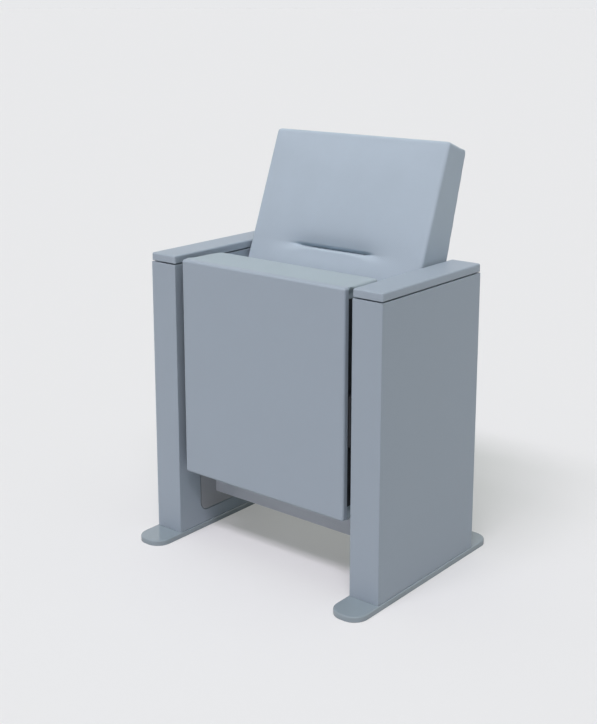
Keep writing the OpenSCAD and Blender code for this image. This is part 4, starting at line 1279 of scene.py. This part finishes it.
@dataclass
class Studio:
    """Pale floor, a long strip softbox high in front of the seat, and the photograph's camera.

    The strip is drawn in the world, so it is far away and lights the whole floor evenly. It is long
    across and narrow in height, which leaves a crisp shadow edge under the seat and a soft one
    beside it. The floor glows a little to the eye alone, as a floor does that is lit from all round.

    Attributes:
        floor_size: Width of the floor in metres.
        pale: Colour of the background.
        floor_paint: Colour of the floor, a little warmer than the light on it.
        floor_glow: Colour of the floor in a deep shadow, at full strength.
        bounce: Share of the floor's light that reaches the seat, as from a floor that is pale only near by.
        glow: Share of the glow that the camera sees.
        strip_slope: Run towards the viewer for each metre of rise, at the strip's two long edges.
        strip_ends: Run to the right for each metre of rise, at its two ends.
        strip_soft: Width of the soft edge of its long edges and of its ends, in the same measure.
        strip: Radiance of the strip, in red, green and blue.
        overhead: Radiance of the soft light above, at the top.
        overhead_power: How fast that light falls off down to the horizon.
        least_rise: The least rise that the strip is measured at.
        ambient: Radiance from all round.
        camera_place: Place of the camera in metres.
        camera_yaw: Its turn to the left, in degrees.
        camera_pitch: How far it looks down, in degrees.
        sensor: Width of its sensor.
        lens: Its focal length.
        shift: Share of the frame that the lens is shifted by.
        far: The furthest that the camera sees, in metres.
    """

    floor_size: float = 900.0
    pale: str = "#E8E9EB"
    floor_paint: str = "#EAEBEA"
    floor_glow: str = "#EAE7E5"
    bounce: float = 0.75
    glow: float = 0.2
    strip_slope: tuple[float, float] = (0.53, 0.76)
    strip_ends: tuple[float, float] = (-0.25, 0.8)
    strip_soft: tuple[float, float] = (0.05, 0.25)
    strip: Point = (17.2, 16.2, 17.9)
    overhead: Point = (0.84, 0.93, 0.88)
    overhead_power: float = 3.0
    least_rise: float = 0.01
    ambient: float = 0.1
    camera_place: Point = (1.5962, -2.0002, 1.1804)
    camera_yaw: float = 39.269
    camera_pitch: float = 12.490
    sensor: float = 36.0
    lens: float = 60.59
    shift: float = -0.12
    far: float = 500.0

    def seen(self, tree: bpy.types.NodeTree) -> Socket:
        """Tell the rays that show the background: the camera's own, and those of gloss and glass.

        Args:
            tree: The tree of the floor's material or of the world.

        Returns:
            1 for such a ray and 0 for any other.
        """
        path = add_node(tree, "ShaderNodeLightPath")
        seen = path.outputs["Is Camera Ray"]
        for ray in ("Is Glossy Ray", "Is Transmission Ray"):
            seen = add_node(tree, "ShaderNodeMath", {"operation": "MAXIMUM"}, {
                0: seen, 1: path.outputs[ray],
            }).outputs[0]
        return seen

    def floor(self) -> None:
        """Lay the floor, which keeps the seat's shadow and glows a little to the eye."""
        half = self.floor_size / 2
        square = [(-half, -half, 0.0), (half, -half, 0.0), (half, half, 0.0), (-half, half, 0.0)]
        material = bpy.data.materials.new("matt_painted_floor")
        material.use_nodes = True
        tree = material.node_tree
        tree.nodes.clear()
        paint = linear(self.floor_paint)
        shown = self.seen(tree)
        bounced = tuple(c * self.bounce for c in paint[:3]) + (1.0,)
        colour = add_node(tree, "ShaderNodeMix", {"data_type": "RGBA"}, {
            "Factor": shown, 6: bounced, 7: paint,
        })
        matt = add_node(tree, "ShaderNodeBsdfDiffuse", None, {"Color": colour.outputs[2]})
        glow = add_node(tree, "ShaderNodeEmission", None, {
            "Color": linear(self.floor_glow), "Strength": 1.0,
        })
        part = add_node(tree, "ShaderNodeMath", {"operation": "MULTIPLY"}, {0: shown, 1: self.glow})
        both = add_node(tree, "ShaderNodeMixShader", None, {
            0: part.outputs[0], 1: matt.outputs["BSDF"], 2: glow.outputs["Emission"],
        })
        add_node(tree, "ShaderNodeOutputMaterial", None, {"Surface": both.outputs["Shader"]})
        mesh = bpy.data.meshes.new("studio_floor")
        mesh.from_pydata(square, [], [(0, 1, 2, 3)])
        mesh.materials.append(material)
        floor = bpy.data.objects.new("studio_floor", mesh)
        bpy.context.scene.collection.objects.link(floor)

    def light(self) -> None:
        """Draw the strip and the soft light above in the world, behind a plain pale background."""
        world = bpy.data.worlds.new("studio")
        bpy.context.scene.world = world
        world.use_nodes = True
        tree = world.node_tree
        tree.nodes.clear()
        way = add_node(tree, "ShaderNodeTexCoord").outputs["Generated"]
        x, y, z = add_node(tree, "ShaderNodeSeparateXYZ", None, {0: way}).outputs
        rise = add_node(tree, "ShaderNodeMath", {"operation": "MAXIMUM"}, {
            0: z, 1: self.least_rise,
        }).outputs[0]
        across = add_node(tree, "ShaderNodeMath", {"operation": "DIVIDE"}, {0: x, 1: rise}).outputs[0]
        away = add_node(tree, "ShaderNodeMath", {"operation": "DIVIDE"}, {0: y, 1: rise}).outputs[0]
        front = add_node(tree, "ShaderNodeMath", {"operation": "MULTIPLY"}, {0: away, 1: -1.0}).outputs[0]
        lit: Socket | None = None
        for run, edges, soft in zip((front, across), (self.strip_slope, self.strip_ends), self.strip_soft):
            for edge, sign in zip(edges, (1, -1)):
                step = add_node(tree, "ShaderNodeMapRange", {"interpolation_type": "SMOOTHSTEP"}, {
                    "Value": run, "From Min": edge - sign * soft / 2, "From Max": edge + sign * soft / 2,
                }).outputs["Result"]
                lit = step if lit is None else add_node(
                    tree, "ShaderNodeMath", {"operation": "MULTIPLY"}, {0: lit, 1: step},
                ).outputs[0]
        above = add_node(tree, "ShaderNodeMath", {"operation": "POWER"}, {
            0: rise, 1: self.overhead_power,
        }).outputs[0]
        total = add_node(tree, "ShaderNodeVectorMath", {"operation": "SCALE"}, {0: self.strip, "Scale": lit})
        for colour, level in ((self.overhead, above), ((self.ambient,) * 3, 1.0)):
            more = add_node(tree, "ShaderNodeVectorMath", {"operation": "SCALE"}, {0: colour, "Scale": level})
            total = add_node(tree, "ShaderNodeVectorMath", None, {0: total.outputs[0], 1: more.outputs[0]})
        light = add_node(tree, "ShaderNodeBackground", None, {"Color": total.outputs[0], "Strength": 1.0})
        plain = add_node(tree, "ShaderNodeBackground", None, {"Color": linear(self.pale), "Strength": 1.0})
        both = add_node(tree, "ShaderNodeMixShader", None, {
            0: self.seen(tree), 1: light.outputs["Background"], 2: plain.outputs["Background"],
        })
        add_node(tree, "ShaderNodeOutputWorld", None, {"Surface": both.outputs["Shader"]})

    def camera(self) -> None:
        """Stand the camera where the photograph was taken from."""
        data = bpy.data.cameras.new("camera")
        data.sensor_width = self.sensor
        data.lens = self.lens
        data.shift_y = self.shift
        data.clip_end = self.far
        eye = bpy.data.objects.new("camera", data)
        eye.location = self.camera_place
        eye.rotation_euler = (math.radians(90 - self.camera_pitch), 0.0, math.radians(self.camera_yaw))
        bpy.context.scene.collection.objects.link(eye)
        bpy.context.scene.camera = eye

    def build(self) -> None:
        """Set up the floor, the light and the camera."""
        self.floor()
        self.light()
        self.camera()
        bpy.context.scene.view_settings.view_transform = "Standard"
        LOG.info("studio: floor, softbox and camera are in place")


def corners(box: Iterable[Iterable[float]]) -> list[list[float]]:
    """Turn a box's two corners to plain lists."""
    return [[float(c) for c in corner] for corner in box]


def main() -> None:
    """Build the seat in order."""
    logging.basicConfig(level=logging.INFO, format="%(name)s %(message)s")
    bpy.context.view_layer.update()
    Studio().build()
    FootPlates().build()
    for side in Side:
        SideCasing(side).build()
    Crossbar().build()
    SeatUnit().build()
    BackUnit().build()


if __name__ == "__main__":
    main()
